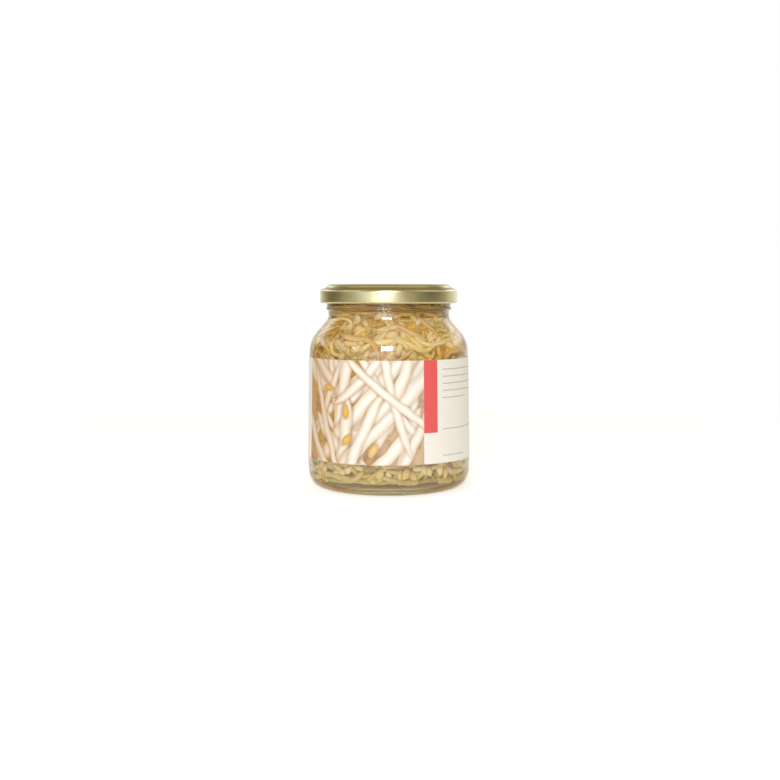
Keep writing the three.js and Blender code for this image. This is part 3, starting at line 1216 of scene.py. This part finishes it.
@dataclass
class Brine:
    """The liquid, which wets the glass all round and the sprouts in it."""

    glass: GlassJar
    level: float = 94.0
    wetting: float = 0.12
    meniscus: float = 0.9
    steps: int = 128

    def build(self) -> list[bpy.types.Object]:
        """Make the liquid and dress it.

        Returns:
            The one piece.
        """
        floor = self.glass.base + self.glass.push_up / 2 - self.wetting
        wall = [(r + self.wetting, z) for r, z in self.glass.inner_wall() if z < self.level - 1]
        bore = self.glass.bore_r + self.wetting
        surface = [
            (bore, self.level + self.meniscus),
            (bore - 0.25, self.level + self.meniscus * 0.45),
            (bore - 0.8, self.level + self.meniscus * 0.12),
            (bore - 1.8, self.level),
            (0.0, self.level),
        ]
        outline = [(0.0, floor), *((r, z - self.wetting) for r, z in wall[:1]), *wall[1:], *surface]
        piece = turned("brine_fill", outline, self.steps)
        liquid = Clear("brine", 1.34, printed(249, 230, 120), 100.0, pass_on=0.98)
        piece.data.materials.append(liquid.make())
        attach(piece, "jar")
        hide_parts("brine")
        return [piece]


@dataclass
class Band:
    """A stretch of the jar's height, and the sprouts that lie in it."""

    count: int
    low: float
    high: float
    tilt: float
    heads: float


@dataclass
class SproutLine:
    """One sprout: its centre line with a radius at each point, and its seed head's place if it has one."""

    points: list[Vector]
    radii: list[float]
    head: tuple[Vector, Vector, Vector] | None = None


class Layer(Enum):
    """Where a sprout lies: the ones at the glass are the source's, and the others fill in behind."""

    GLASS = "glass"
    BEHIND = "behind"
    FLOOR = "floor"
    THREADS = "threads"


@dataclass
class SproutBunch:
    """The sprouts: those of the source at the glass, more behind and under them, and a rough core.

    Lengths are in millimetres. bands and the sizes of a sprout are the source's, so that the same draw
    gives the same sprouts. fill, threads and halves say how much lies between and behind them.
    """

    glass: GlassJar
    seed: int = 35
    tries: int = 60
    margin: float = 0.35
    brine_clear: float = 0.1
    brine_skin: float = 0.5
    brine_floor: float = 0.8
    brine_level: float = 94.0
    facets: int = 40
    stem_r: float = 1.7
    root_r: float = 0.8
    spans: int = 6
    dip: float = 4.0
    head_long: float = 4.3
    head_wide: float = 3.0
    head_thick: float = 2.2
    head_sunk: float = 0.7
    core_high: float = 88.0
    core_deep: float = 9.5
    thread_r: float = 0.42
    floor_count: int = 34
    floor_reach: float = 28.0
    floor_step: float = 4.0
    deepest: float = 6.6
    half_size: tuple[float, float, float] = (1.9, 3.2, 1.1)
    bands: tuple[Band, ...] = (
        Band(30, 68, 87, 0.7, 0.75),
        Band(14, 8, 15, 0.3, 0.8),
        Band(9, 20, 62, 0.8, 0.4),
    )
    fill: tuple[Band, ...] = (
        Band(360, 60, 86, 0.9, 0.7),
        Band(170, 7, 20, 0.45, 0.8),
        Band(24, 20, 60, 0.8, 0.3),
    )
    threads: tuple[Band, ...] = (Band(70, 64, 90, 1.0, 0.0), Band(30, 7, 16, 0.6, 0.0))
    halves: tuple[Band, ...] = (Band(150, 62, 86, 1.0, 1.0), Band(50, 6.5, 17, 1.0, 1.0))

    def __post_init__(self) -> None:
        """Work out the hole in the brine that the source's sprouts stand in."""
        wall = self.glass.inner_wall(4, 6)
        deep = self.brine_clear + self.brine_skin
        low = self.glass.base + self.glass.push_up / 2 + self.brine_clear + self.brine_floor
        joint = self.glass.shoulder_z + self.glass.shoulder_pull
        kept = [p for i, p in enumerate(wall) if i < 4 or i % 2 == 0 or p[1] > joint]
        self.floor = low + self.margin
        self.hole: Outline = [
            (0.0, low),
            (radius_at(wall, low) - deep, low),
            *((r - deep, z) for r, z in kept if low + 0.5 < z < self.brine_level),
            (self.glass.bore_r - deep, self.brine_level),
        ]

    def bunch_r(self, z: float) -> float:
        """Return the hole's radius at a height, on the flats between its edges."""
        low = self.floor - self.margin + 0.01
        return math.cos(math.pi / self.facets) * radius_at(self.hole, min(max(z, low), self.brine_level))

    def room(self, z: float, tall: float, deep: float) -> float:
        """Return how far out a rounded thing may sit, with half its height and depth given."""
        parts = (-1.0, -math.sqrt(0.5), 0.0, math.sqrt(0.5), 1.0)
        return min(self.bunch_r(z + t * tall) - deep * math.sqrt(1 - t * t) for t in parts) - self.margin

    def _line(self, dice: Dice, band: Band, deeper: float = 0.0) -> SproutLine:
        """Draw one sprout's centre line along the wall, with its curl at the neck.

        Args:
            dice: The draw of numbers.
            band: Where the sprout lies.
            deeper: How far behind the outermost layer it lies.

        Returns:
            The line without a head.
        """
        length = 18 + 16 * dice()
        bend = (dice() - 0.5) * 0.05
        hook = (-1 if dice() < 0.5 else 1) * (0.08 + 0.12 * dice())
        heading = (dice() - 0.5) * math.pi * band.tilt + (math.pi if dice() < 0.5 else 0)
        angle = math.tau * dice()
        z = band.low + (band.high - band.low) * dice()
        step = length / self.spans
        points, radii = [], []
        for i in range(self.spans + 1):
            s = i / self.spans
            r = self.root_r + (self.stem_r - self.root_r) * min(1, 2.2 * s)
            z = min(max(z, self.floor + r), band.high + 1)
            dip = self.dip * max(0, 1 - 5 * s) + 1.6 * max(0, 5 * s - 4)
            out = self.room(z, r, r) - dip - deeper
            points.append(Vector((out * math.cos(angle), out * math.sin(angle), z)))
            radii.append(r)
            heading += bend * step + (hook * step if s > 0.6 else 0)
            angle += math.cos(heading) * step / out
            z += math.sin(heading) * step
        return SproutLine(points, radii)

    def _head(self, line: SproutLine, deeper: float = 0.0) -> tuple[Vector, Vector, Vector]:
        """Place a seed head at the end of a stem.

        Args:
            line: The sprout.
            deeper: How far behind the outermost layer it lies.

        Returns:
            The head's centre, the way it points and the way out of the jar.
        """
        end = line.points[-1]
        along = (end - line.points[-2]).normalized()
        centre = end + along * (self.head_long * 0.6)
        outward = Vector((centre.x, centre.y, 0)).normalized()
        along = (along - outward * along.dot(outward)).normalized()
        wide = along.cross(outward)
        tall = math.hypot(self.head_long * along.z, self.head_wide * wide.z)
        z = min(max(centre.z, self.floor + tall), self.core_high + 1)
        reach = self.room(z, tall, self.head_thick) - self.head_sunk - deeper
        return Vector((outward.x * reach, outward.y * reach, z)), along, outward

    def _girth(self, line: SproutLine) -> np.ndarray:
        """Return places along a sprout, each with a radius, that others keep clear of.

        Args:
            line: The sprout.

        Returns:
            A row for each place: its three coordinates and the radius.
        """
        rows = [(*p, r) for p, r in zip(line.points[1:], line.radii[1:])]
        pairs = zip(line.points, line.points[1:], line.radii[1:])
        rows += [(*((a + b) / 2), r) for a, b, r in pairs]
        if line.head:
            rows.append((*line.head[0], self.head_wide))
        return np.array(rows)

    def at_glass(self) -> list[SproutLine]:
        """Repeat the source's sprouts, by the same draw.

        Returns:
            The sprouts that lie at the glass.
        """
        dice = Dice(self.seed)
        placed = np.empty((0, 4))
        lines = []
        for band in self.bands:
            wanted = band.count
            for _ in range(band.count * self.tries):
                if wanted == 0:
                    break
                line = self._line(dice, band)
                if dice() < band.heads:
                    line.head = self._head(line)
                beads = self._girth(line)
                if self._clear(placed, beads, 0.2):
                    placed = np.vstack((placed, beads))
                    lines.append(line)
                    wanted -= 1
        self.placed = placed
        return lines

    @staticmethod
    def _clear(placed: np.ndarray, beads: np.ndarray, gap: float) -> bool:
        """Test whether a new sprout keeps its gap to all that are placed.

        Args:
            placed: The rows of the sprouts that lie already.
            beads: The new sprout's rows.
            gap: The gap in millimetres. Below 0, small crossings are let be.

        Returns:
            Whether the new sprout fits.
        """
        if not len(placed):
            return True
        apart = np.linalg.norm(placed[:, None, :3] - beads[None, :, :3], axis=2)
        return bool((apart > placed[:, None, 3] + beads[None, :, 3] + gap).all())

    def behind(self) -> list[SproutLine]:
        """Fill in between and behind the source's sprouts, with small crossings let be.

        Returns:
            The further sprouts.
        """
        dice = Dice(self.seed + 1)
        lines = []
        for band in self.fill:
            for number in range(band.count):
                deeper = 0.3 + self.deepest * (number / band.count) ** 1.4
                for attempt in range(24):
                    line = self._line(dice, band, deeper)
                    if dice() < band.heads:
                        line.head = self._head(line, deeper)
                    beads = self._girth(line)
                    if self._clear(self.placed, beads, -0.45 - 0.09 * attempt):
                        self.placed = np.vstack((self.placed, beads))
                        lines.append(line)
                        break
        return lines

    def thin_roots(self) -> list[SproutLine]:
        """Draw loose root threads between and just behind the sprouts at the glass.

        Returns:
            Thin lines without heads.
        """
        dice = Dice(self.seed + 4)
        lines = []
        for band in self.threads:
            for _ in range(band.count):
                line = self._line(dice, band, -0.5 + 1.6 * dice())
                line.radii = [self.thread_r] * len(line.radii)
                lines.append(line)
        return lines

    def seed_halves(self) -> list[SproutLine]:
        """Scatter loose seed halves at the glass.

        Returns:
            Bare heads, each with its place and the ways it points.
        """
        dice = Dice(self.seed + 5)
        lines = []
        for band in self.halves:
            for _ in range(band.count):
                angle, turn = math.tau * dice(), math.tau * dice()
                z = max(band.low + (band.high - band.low) * dice(), self.floor + self.half_size[1])
                outward = Vector((math.cos(angle), math.sin(angle), 0))
                across = Vector((-outward.y, outward.x, 0))
                along = across * math.cos(turn) + Vector((0, 0, math.sin(turn)))
                sideways = Vector((0, 0, 1)).cross(outward) * 0.5 * (dice() - 0.5)
                tilt = sideways + Vector((0, 0, 0.5 * (dice() - 0.5)))
                face = (outward + tilt).normalized()
                along = (along - face * along.dot(face)).normalized()
                tall = self.half_size[1] * abs(along.z) + 1
                reach = self.room(z, tall, self.half_size[2]) + 0.45 - 1.5 * dice()
                lines.append(SproutLine([], [], (outward * reach + Vector((0, 0, z)), along, face)))
        return lines

    def on_floor(self) -> list[SproutLine]:
        """Lay sprouts over the base, where they show from below.

        Returns:
            The sprouts on the floor.
        """
        dice = Dice(self.seed + 2)
        lines = []
        for number in range(self.floor_count):
            reach, angle = self.floor_reach * math.sqrt(dice()), math.tau * dice()
            z = self.floor + 1.4 + 0.12 * number
            place = Vector((reach * math.cos(angle), reach * math.sin(angle), z))
            limit = self.room(place.z, self.stem_r, self.stem_r)
            heading = math.tau * dice()
            hook = (-1 if dice() < 0.5 else 1) * (0.1 + 0.12 * dice())
            points, radii = [], []
            for i in range(self.spans + 1):
                s = i / self.spans
                past = math.hypot(place.x, place.y) / limit
                if past > 1:
                    place = Vector((place.x / past, place.y / past, place.z))
                    heading += 0.8
                points.append(place)
                radii.append(self.root_r + (self.stem_r - self.root_r) * min(1, 2.2 * s))
                heading += hook * 4 if s > 0.6 else (dice() - 0.5) * 0.3
                place = place + Vector((math.cos(heading), math.sin(heading), 0)) * self.floor_step
            lines.append(SproutLine(points, radii))
        return lines

    @staticmethod
    def _stem_master(sides: int, spans: int) -> bpy.types.Object:
        """Model one straight stem of unit length and radius, thin at its root end.

        Args:
            sides: Sides round the stem.
            spans: Steps along it.

        Returns:
            The master, which stands on +Z from 0 to 1.
        """
        deselect()
        tip_r = 0.12
        bpy.ops.mesh.primitive_circle_add(vertices=sides, radius=tip_r, fill_type="NGON")
        bpy.ops.object.mode_set(mode="EDIT")
        bpy.ops.mesh.select_all(action="SELECT")
        before = tip_r
        for i in range(1, spans + 1):
            s = i / spans
            after = min(1.0, tip_r + 2.6 * s) * (1 - 0.22 * max(0.0, (s - 0.7) / 0.3))
            bpy.ops.mesh.extrude_region_move(TRANSFORM_OT_translate={"value": (0, 0, 1 / spans)})
            bpy.ops.transform.resize(value=(after / before, after / before, 1))
            before = after
        bpy.ops.mesh.inset(thickness=0.3, use_relative_offset=False)
        bpy.ops.transform.translate(value=(0, 0, 0.02))
        bpy.ops.mesh.select_all(action="SELECT")
        bpy.ops.mesh.normals_make_consistent(inside=False)
        return settle("stem_master")

    def _head_master(self, sides: int, rings: int) -> bpy.types.Object:
        """Model a seed head: two halves, flat where they met and a little apart.

        Args:
            sides: Sides round each half.
            rings: Rings along it.

        Returns:
            The master, with +Y along the head, +Z out of the jar and its middle at the origin.
        """
        halves = []
        for side in (-1, 1):
            deselect()
            bpy.ops.mesh.primitive_uv_sphere_add(segments=sides, ring_count=rings, radius=1.0)
            bpy.ops.object.mode_set(mode="EDIT")
            bpy.ops.mesh.select_all(action="SELECT")
            bpy.ops.transform.rotate(value=math.pi / 2, orient_axis="X", center_override=(0, 0, 0))
            bpy.ops.transform.resize(value=(self.head_wide * 0.62, self.head_long, self.head_thick))
            half = settle(f"half_{side}")
            for vertex in half.data.vertices:
                flat = vertex.co.x * side
                vertex.co.x = side * (flat if flat > 0 else flat * 0.25)
                spread = 0.34 * (vertex.co.y + self.head_long)
                vertex.co.x += side * (0.25 + 0.32 * spread)
                vertex.co.z += 0.12 * side * spread
            halves.append(half)
        deselect()
        for half in halves:
            half.select_set(True)
        bpy.context.view_layer.objects.active = halves[0]
        bpy.ops.object.join()
        return settle("head_master")

    def _half_master(self) -> bpy.types.Object:
        """Model one loose seed half: rounded outside, hollowed where it met its twin.

        Returns:
            The master, with +Y along it and its rounded side towards +Z.
        """
        deselect()
        bpy.ops.mesh.primitive_uv_sphere_add(segments=10, ring_count=8, radius=1.0)
        bpy.ops.object.mode_set(mode="EDIT")
        bpy.ops.mesh.select_all(action="SELECT")
        bpy.ops.transform.rotate(value=math.pi / 2, orient_axis="X", center_override=(0, 0, 0))
        bpy.ops.transform.resize(value=self.half_size)
        half = settle("half_master")
        wide, long, thick = self.half_size
        for vertex in half.data.vertices:
            x, y, z = vertex.co
            if z < 0:
                rim = (x / wide) ** 2 + (y / long) ** 2
                z = 0.45 * thick * (1 - rim) - 0.1 * thick
            taper = 1 - 0.25 * max(0.0, y / long)
            bend = 0.12 * y * y / long
            vertex.co = (x * taper + 0.3 * bend, y, z - bend)
        return half

    @staticmethod
    def _smoothed(line: SproutLine, count: int) -> tuple[np.ndarray, np.ndarray]:
        """Run a smooth curve through a sprout's points.

        Args:
            line: The sprout.
            count: How many places the curve is read at.

        Returns:
            The places and their radii.
        """
        knots = np.array([tuple(p) for p in line.points])
        ends = np.vstack((2 * knots[0] - knots[1], knots, 2 * knots[-1] - knots[-2]))
        spans = len(knots) - 1
        places = []
        for t in np.linspace(0, spans, count):
            i = min(int(t), spans - 1)
            f = t - i
            a, b, c, d = ends[i : i + 4]
            square, cube = 2 * a - 5 * b + 4 * c - d, 3 * b - a - 3 * c + d
            places.append(0.5 * (2 * b + (c - a) * f + square * f * f + cube * f**3))
        radii = np.interp(np.linspace(0, spans, count), np.arange(spans + 1), line.radii)
        return np.array(places), radii

    @staticmethod
    def _twin(master: bpy.types.Object) -> tuple[bpy.types.Object, np.ndarray]:
        """Copy a master with its own mesh.

        Args:
            master: The piece to copy.

        Returns:
            The copy and its points, a row for each.
        """
        piece = master.copy()
        piece.data = master.data.copy()
        bpy.context.collection.objects.link(piece)
        flat = np.empty(len(piece.data.vertices) * 3)
        piece.data.vertices.foreach_get("co", flat)
        return piece, flat.reshape(-1, 3)

    def _lay(
        self, master: bpy.types.Object, line: SproutLine, dice: Dice, tone: float
    ) -> bpy.types.Object:
        """Copy the stem and lay it along a sprout's line.

        Args:
            master: The straight stem.
            line: The sprout.
            dice: The draw of numbers.
            tone: How deep its colour is, from 0 to 1.

        Returns:
            The bent copy, with its own mesh.
        """
        piece, local = self._twin(master)
        fine = 48
        places, _ = self._smoothed(line, fine)
        along = np.gradient(places, axis=0)
        along /= np.linalg.norm(along, axis=1)[:, None]
        out = places * (1, 1, 0)
        out /= np.linalg.norm(out, axis=1)[:, None] + 1e-9
        side = np.cross(along, out)
        side /= np.linalg.norm(side, axis=1)[:, None] + 1e-9
        over = np.cross(along, side)
        s = np.clip(local[:, 2], 0, 1.02)
        index = np.minimum(s * (fine - 1), fine - 1)
        girth = max(line.radii) * (0.62 + 0.34 * dice())
        wave = 1 + 0.07 * np.sin(index * 0.35 + math.tau * dice())

        def read(table: np.ndarray) -> np.ndarray:
            """Read a table of vectors between its rows."""
            return np.stack([np.interp(index, np.arange(fine), table[:, k]) for k in range(3)], axis=1)

        spread = read(side) * local[:, :1] + read(over) * local[:, 1:2]
        tip = read(along) * (np.maximum(local[:, 2:] - 1, 0) * 40)
        moved = (read(places) + spread * (girth * wave)[:, None] + tip) * MM
        piece.data.vertices.foreach_set("co", moved.ravel())
        self._note(piece, s, tone)
        return piece

    def _seat(
        self, master: bpy.types.Object, line: SproutLine, dice: Dice, tone: float
    ) -> bpy.types.Object:
        """Copy the seed head and set it at a sprout's neck.

        Args:
            master: The head at the origin.
            line: The sprout, which has a head.
            dice: The draw of numbers.
            tone: How deep its colour is, from 0 to 1.

        Returns:
            The copy, with its own mesh.
        """
        centre, along, outward = line.head
        wide = along.cross(outward)
        piece, local = self._twin(master)
        local = local * (0.85 + 0.2 * dice())
        basis = np.array([tuple(wide), tuple(along), tuple(outward)])
        moved = (local @ basis + np.array(tuple(centre))) * MM
        piece.data.vertices.foreach_set("co", moved.ravel())
        self._note(piece, 0.5 + local[:, 1] / self.head_long * 0.5, tone)
        return piece

    @staticmethod
    def _note(piece: bpy.types.Object, along: np.ndarray, tone: float) -> None:
        """Keep each point's place along the sprout, and the sprout's tone, on the mesh.

        Args:
            piece: The copy, or the core.
            along: Each point's place, from 0 at the root end to 1.
            tone: How deep the colour is, from 0 to 1.
        """
        for name, values in (("along", along), ("tone", np.full(len(along), tone))):
            kept = piece.data.attributes.new(name, "FLOAT", "POINT")
            kept.data.foreach_set("value", values.astype(np.float32))

    def _gather(self, name: str, parts: list[bpy.types.Object], finish: Flesh) -> bpy.types.Object:
        """Join copies into one piece and dress it.

        Args:
            name: The piece's name.
            parts: The copies.
            finish: What they are made of.

        Returns:
            The piece.
        """
        deselect()
        for part in parts:
            part.select_set(True)
        bpy.context.view_layer.objects.active = parts[0]
        bpy.ops.object.join()
        piece = settle(name)
        bpy.ops.object.shade_smooth()
        piece.data.materials.clear()
        piece.data.materials.append(finish.make())
        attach(piece, "jar")
        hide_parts("sprouts")
        return piece

    def _core(self) -> bpy.types.Object:
        """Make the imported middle, which only shows as dark flesh between the sprouts.

        Returns:
            The core, roughened all over.
        """
        low, high = self.floor + 2, self.core_high - 2
        wall = [(self.bunch_r(z) - self.core_deep, z) for z in np.linspace(low, high, 60)]
        core = turned("bunch_core", [(0.0, low), *wall, (0.0, high)], 120)
        for vertex in core.data.vertices:
            x, y, z = (c / MM for c in vertex.co)
            r = math.hypot(x, y)
            if r > 5:
                angle = math.atan2(y, x)
                swell = math.sin(19 * angle + z * 0.35) + math.sin(26 * angle - z * 0.9)
                swell += math.sin(z * 1.3)
                vertex.co.x *= 1 + 0.6 * swell / r
                vertex.co.y *= 1 + 0.6 * swell / r
        self._note(core, np.full(len(core.data.vertices), 0.5), 0.9)
        return core

    def build(self) -> list[bpy.types.Object]:
        """Make all the sprouts and dress them.

        Returns:
            The pieces: stems and seed heads of each layer, and the core.
        """
        # painted light: the flesh behind, on the floor and in the core is paler than the flesh at the glass
        # and gives off a painted glow, to brighten the gaps between the sprouts
        root, pale, painted_light_tan = printed(194, 159, 80), printed(253, 231, 200), printed(248, 215, 169)
        husk, cream, yolk = printed(228, 192, 124), printed(253, 229, 200), printed(242, 204, 143)
        stem = Flesh("stem_flesh", root, printed(242, 211, 179), printed(230, 189, 139), 0.6)
        deep = Flesh("deep_flesh_painted_light", root, pale, painted_light_tan, 0.5, painted_glow=0.08, settle=0.66)
        packed = Flesh("core_flesh_painted_light", root, pale, painted_light_tan, 0.3, painted_glow=0.2, settle=0.75)
        split = Flesh("seed_flesh", husk, cream, yolk, 0.35, settle=0.16)
        layers = {
            Layer.GLASS: (self.at_glass(), stem, (8, 16, 10, 7)),
            Layer.BEHIND: (self.behind(), deep, (6, 12, 7, 5)),
            Layer.FLOOR: (self.on_floor(), deep, (6, 12, 7, 5)),
            Layer.THREADS: (self.thin_roots(), stem, (5, 14, 7, 5)),
        }
        dice = Dice(self.seed + 3)
        pieces = []
        for layer, (lines, finish, detail) in layers.items():
            sides, spans, head_sides, head_rings = detail
            log.info("sprouts %s: %d", layer.value, len(lines))
            stem_master = self._stem_master(sides, spans)
            head_master = self._head_master(head_sides, head_rings)
            stems, heads = [], []
            for line in lines:
                tone = dice()
                stems.append(self._lay(stem_master, line, dice, tone))
                if line.head:
                    heads.append(self._seat(head_master, line, dice, dice()))
            for master in (stem_master, head_master):
                bpy.data.objects.remove(master)
            pieces.append(self._gather(f"stems_{layer.value}", stems, finish))
            if heads:
                pieces.append(self._gather(f"heads_{layer.value}", heads, split))
        half = self._half_master()
        loose = [self._seat(half, line, dice, dice()) for line in self.seed_halves()]
        bpy.data.objects.remove(half)
        pieces.append(self._gather("seed_halves", loose, split))
        core = self._gather("bunch_core", [self._core()], packed)
        return [*pieces, core]


@dataclass
class Studio:
    """The pale floor, the soft light round the jar and the camera.

    Lengths are in metres. walls is the ring of light round the jar and upper is the one above it. Each
    step has its azimuth in degrees, with 0 at the camera and 90 to its right, and its brightness. The
    darkest steps take the tint warm.
    """

    distance: float = 0.65
    camera_height: float = 0.1021
    pitch: float = 4.7
    lens: float = 60.0
    aside: float = 0.0006
    floor_reach: float = 0.4
    key_size: tuple[float, float] = (0.36, 0.40)
    key_way: tuple[float, float] = (-3.0, 24.0)
    key_power: float = 7.8
    spot_size: tuple[float, float] = (0.05, 0.05)
    spot_way: tuple[float, float] = (-52.0, 20.0)
    spot_power: float = 0.16
    aim_high: float = 0.05
    lamp_away: float = 1.25
    lamp_tint: tuple[float, float, float] = (0.95, 0.98, 1.12)
    walls: tuple[tuple[float, float], ...] = (
        (-180.0, 0.85),
        (-156.0, 0.8),
        (-128.0, 0.3),
        (-108.0, 0.1),
        (-92.0, 0.16),
        (-66.0, 0.42),
        (-42.0, 0.75),
        (-30.0, 0.95),
        (-22.0, 1.8),
        (0.0, 1.8),
        (9.0, 0.8),
        (22.0, 0.42),
        (44.0, 0.26),
        (72.0, 0.1),
        (88.0, 0.14),
        (104.0, 0.3),
        (122.0, 0.65),
        (146.0, 1.0),
    )
    upper: tuple[tuple[float, float], ...] = (
        (-180.0, 0.5),
        (-164.0, 0.6),
        (-154.0, 1.5),
        (-122.0, 1.5),
        (-108.0, 0.6),
        (-90.0, 0.85),
        (-66.0, 0.7),
        (-42.0, 0.4),
        (-14.0, 0.42),
        (4.0, 0.36),
        (20.0, 0.28),
        (44.0, 0.3),
        (70.0, 0.7),
        (92.0, 0.85),
        (108.0, 0.6),
        (122.0, 1.7),
        (154.0, 1.7),
        (166.0, 0.6),
    )
    warm: Colour = (1.0, 0.87, 0.47, 1.0)
    behind: float = 0.3
    overhead: float = 0.48
    ceiling_back: float = 4.0
    floor_glow: float = 0.46

    def floor(self) -> None:
        """Lay the pale floor, a sheet that is softly lit from below."""
        deselect()
        bpy.ops.mesh.primitive_circle_add(vertices=96, radius=self.floor_reach, fill_type="NGON")
        floor = settle("floor")
        material, recipe = new_recipe("pale_floor")
        cloud = recipe.noise(recipe.place(), 3.0)
        surface = recipe.body(
            {
                "Base Color": recipe.blend(cloud, printed(248, 248, 248), printed(251, 251, 251)),
                "Roughness": 0.8,
                "Emission Color": (0.97, 1.0, 1.08, 1.0),
                "Emission Strength": self.floor_glow,
            }
        )
        recipe.finish(surface)
        floor.data.materials.append(material)

    def camera(self) -> None:
        """Set up the camera at the picture's viewing angle."""
        data = bpy.data.cameras.new("camera")
        data.lens = self.lens
        data.sensor_width = 36.0
        data.clip_start = 0.01
        camera = bpy.data.objects.new("camera", data)
        bpy.context.collection.objects.link(camera)
        camera.location = (self.aside, -self.distance, self.camera_height)
        camera.rotation_euler = (math.radians(90 - self.pitch), 0, 0)
        bpy.context.scene.camera = camera

    def lamp(self, name: str, size: tuple[float, float], way: tuple[float, float], power: float) -> None:
        """Hang a softbox that points at the jar.

        Args:
            name: The lamp's name.
            size: Its width and height in metres.
            way: Its azimuth to the right of the camera and its rise, in degrees.
            power: Its power in watts.
        """
        data = bpy.data.lights.new(name, "AREA")
        data.shape = "ELLIPSE" if size[0] < 0.2 else "RECTANGLE"
        data.size, data.size_y = size
        data.energy = power
        data.color = self.lamp_tint
        lamp = bpy.data.objects.new(name, data)
        bpy.context.collection.objects.link(lamp)
        turn, rise = (math.radians(a) for a in way)
        aim = Vector((math.sin(turn) * math.cos(rise), -math.cos(turn) * math.cos(rise), math.sin(rise)))
        lamp.location = Vector((0, 0, self.aim_high)) + aim * self.lamp_away
        lamp.rotation_euler = aim.to_track_quat("Z", "Y").to_euler()
        lamp.visible_camera = False

    @staticmethod
    def _round(recipe: Recipe, share: Signal, levels: Sequence[tuple[float, float]]) -> Signal:
        """Return a quarter of the light of a ring of walls, by the share of the turn from behind."""
        return recipe.colours(share, [((a + 180) / 360, (v / 4, v / 4, v / 4, 1.0)) for a, v in levels])

    def surround(self) -> None:
        """Light the room by the two rings, with an even back and ceiling, and show white past the floor."""
        world = bpy.data.worlds.new("studio")
        bpy.context.scene.world = world
        world.use_nodes = True
        recipe = Recipe(world.node_tree)
        x, y, z = recipe.split(recipe.signal("ShaderNodeTexCoord", out="Generated"))
        azimuth = x.maths("ARCTAN2", y * -1.0) * (180 / math.pi)
        share = (azimuth + 180.0) / 360.0
        low, high = (self._round(recipe, share, levels) for levels in (self.walls, self.upper))
        level = recipe.blend(z.ramp(0.14, 0.3), low, high)
        behind = z.ramp(0.4, 0.54) * y.ramp(0.05, 0.3)
        level = recipe.blend(behind, level, (self.behind / 4,) * 4)
        back = math.radians(self.ceiling_back)
        top = z * math.cos(back) + y * math.sin(back)
        level = recipe.blend(top.ramp(0.72, 0.86), level, (self.overhead / 4,) * 4)
        tint = recipe.blend(level.ramp(0.2, 0.09), (1.0, 1.0, 1.0, 1.0), self.warm)
        light = recipe.vector("MULTIPLY", recipe.vector("MULTIPLY", level, tint), (4.0, 4.0, 4.0))
        seen = recipe.node("ShaderNodeLightPath").outputs["Is Camera Ray"]
        light = recipe.blend(Signal(recipe, seen), light, (1.0, 1.0, 1.0, 1.0))
        background = recipe.signal("ShaderNodeBackground", None, {0: light, 1: 1.0})
        recipe.node("ShaderNodeOutputWorld", None, {0: background})

    def build(self) -> None:
        """Set the stage."""
        self.camera()
        self.floor()
        self.lamp("softbox", self.key_size, self.key_way, self.key_power)
        self.lamp("side_lamp", self.spot_size, self.spot_way, self.spot_power)
        self.surround()
        bpy.context.scene.view_settings.view_transform = "Standard"


def main() -> None:
    """Build every sub-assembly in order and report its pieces."""
    logging.basicConfig(level=logging.INFO, format="%(name)s: %(message)s")
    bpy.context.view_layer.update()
    Studio().build()
    glass = GlassJar()
    makers: list[Callable[[], list[bpy.types.Object]]] = [
        glass.build,
        TwistOffLid().build,
        SealRing().build,
        PaperLabel(glass).build,
        Brine(glass).build,
        SproutBunch(glass).build,
    ]
    for make in makers:
        for piece in make():
            log.info("%s: %d faces", piece.name, len(piece.data.polygons))


if __name__ == "__main__":
    main()
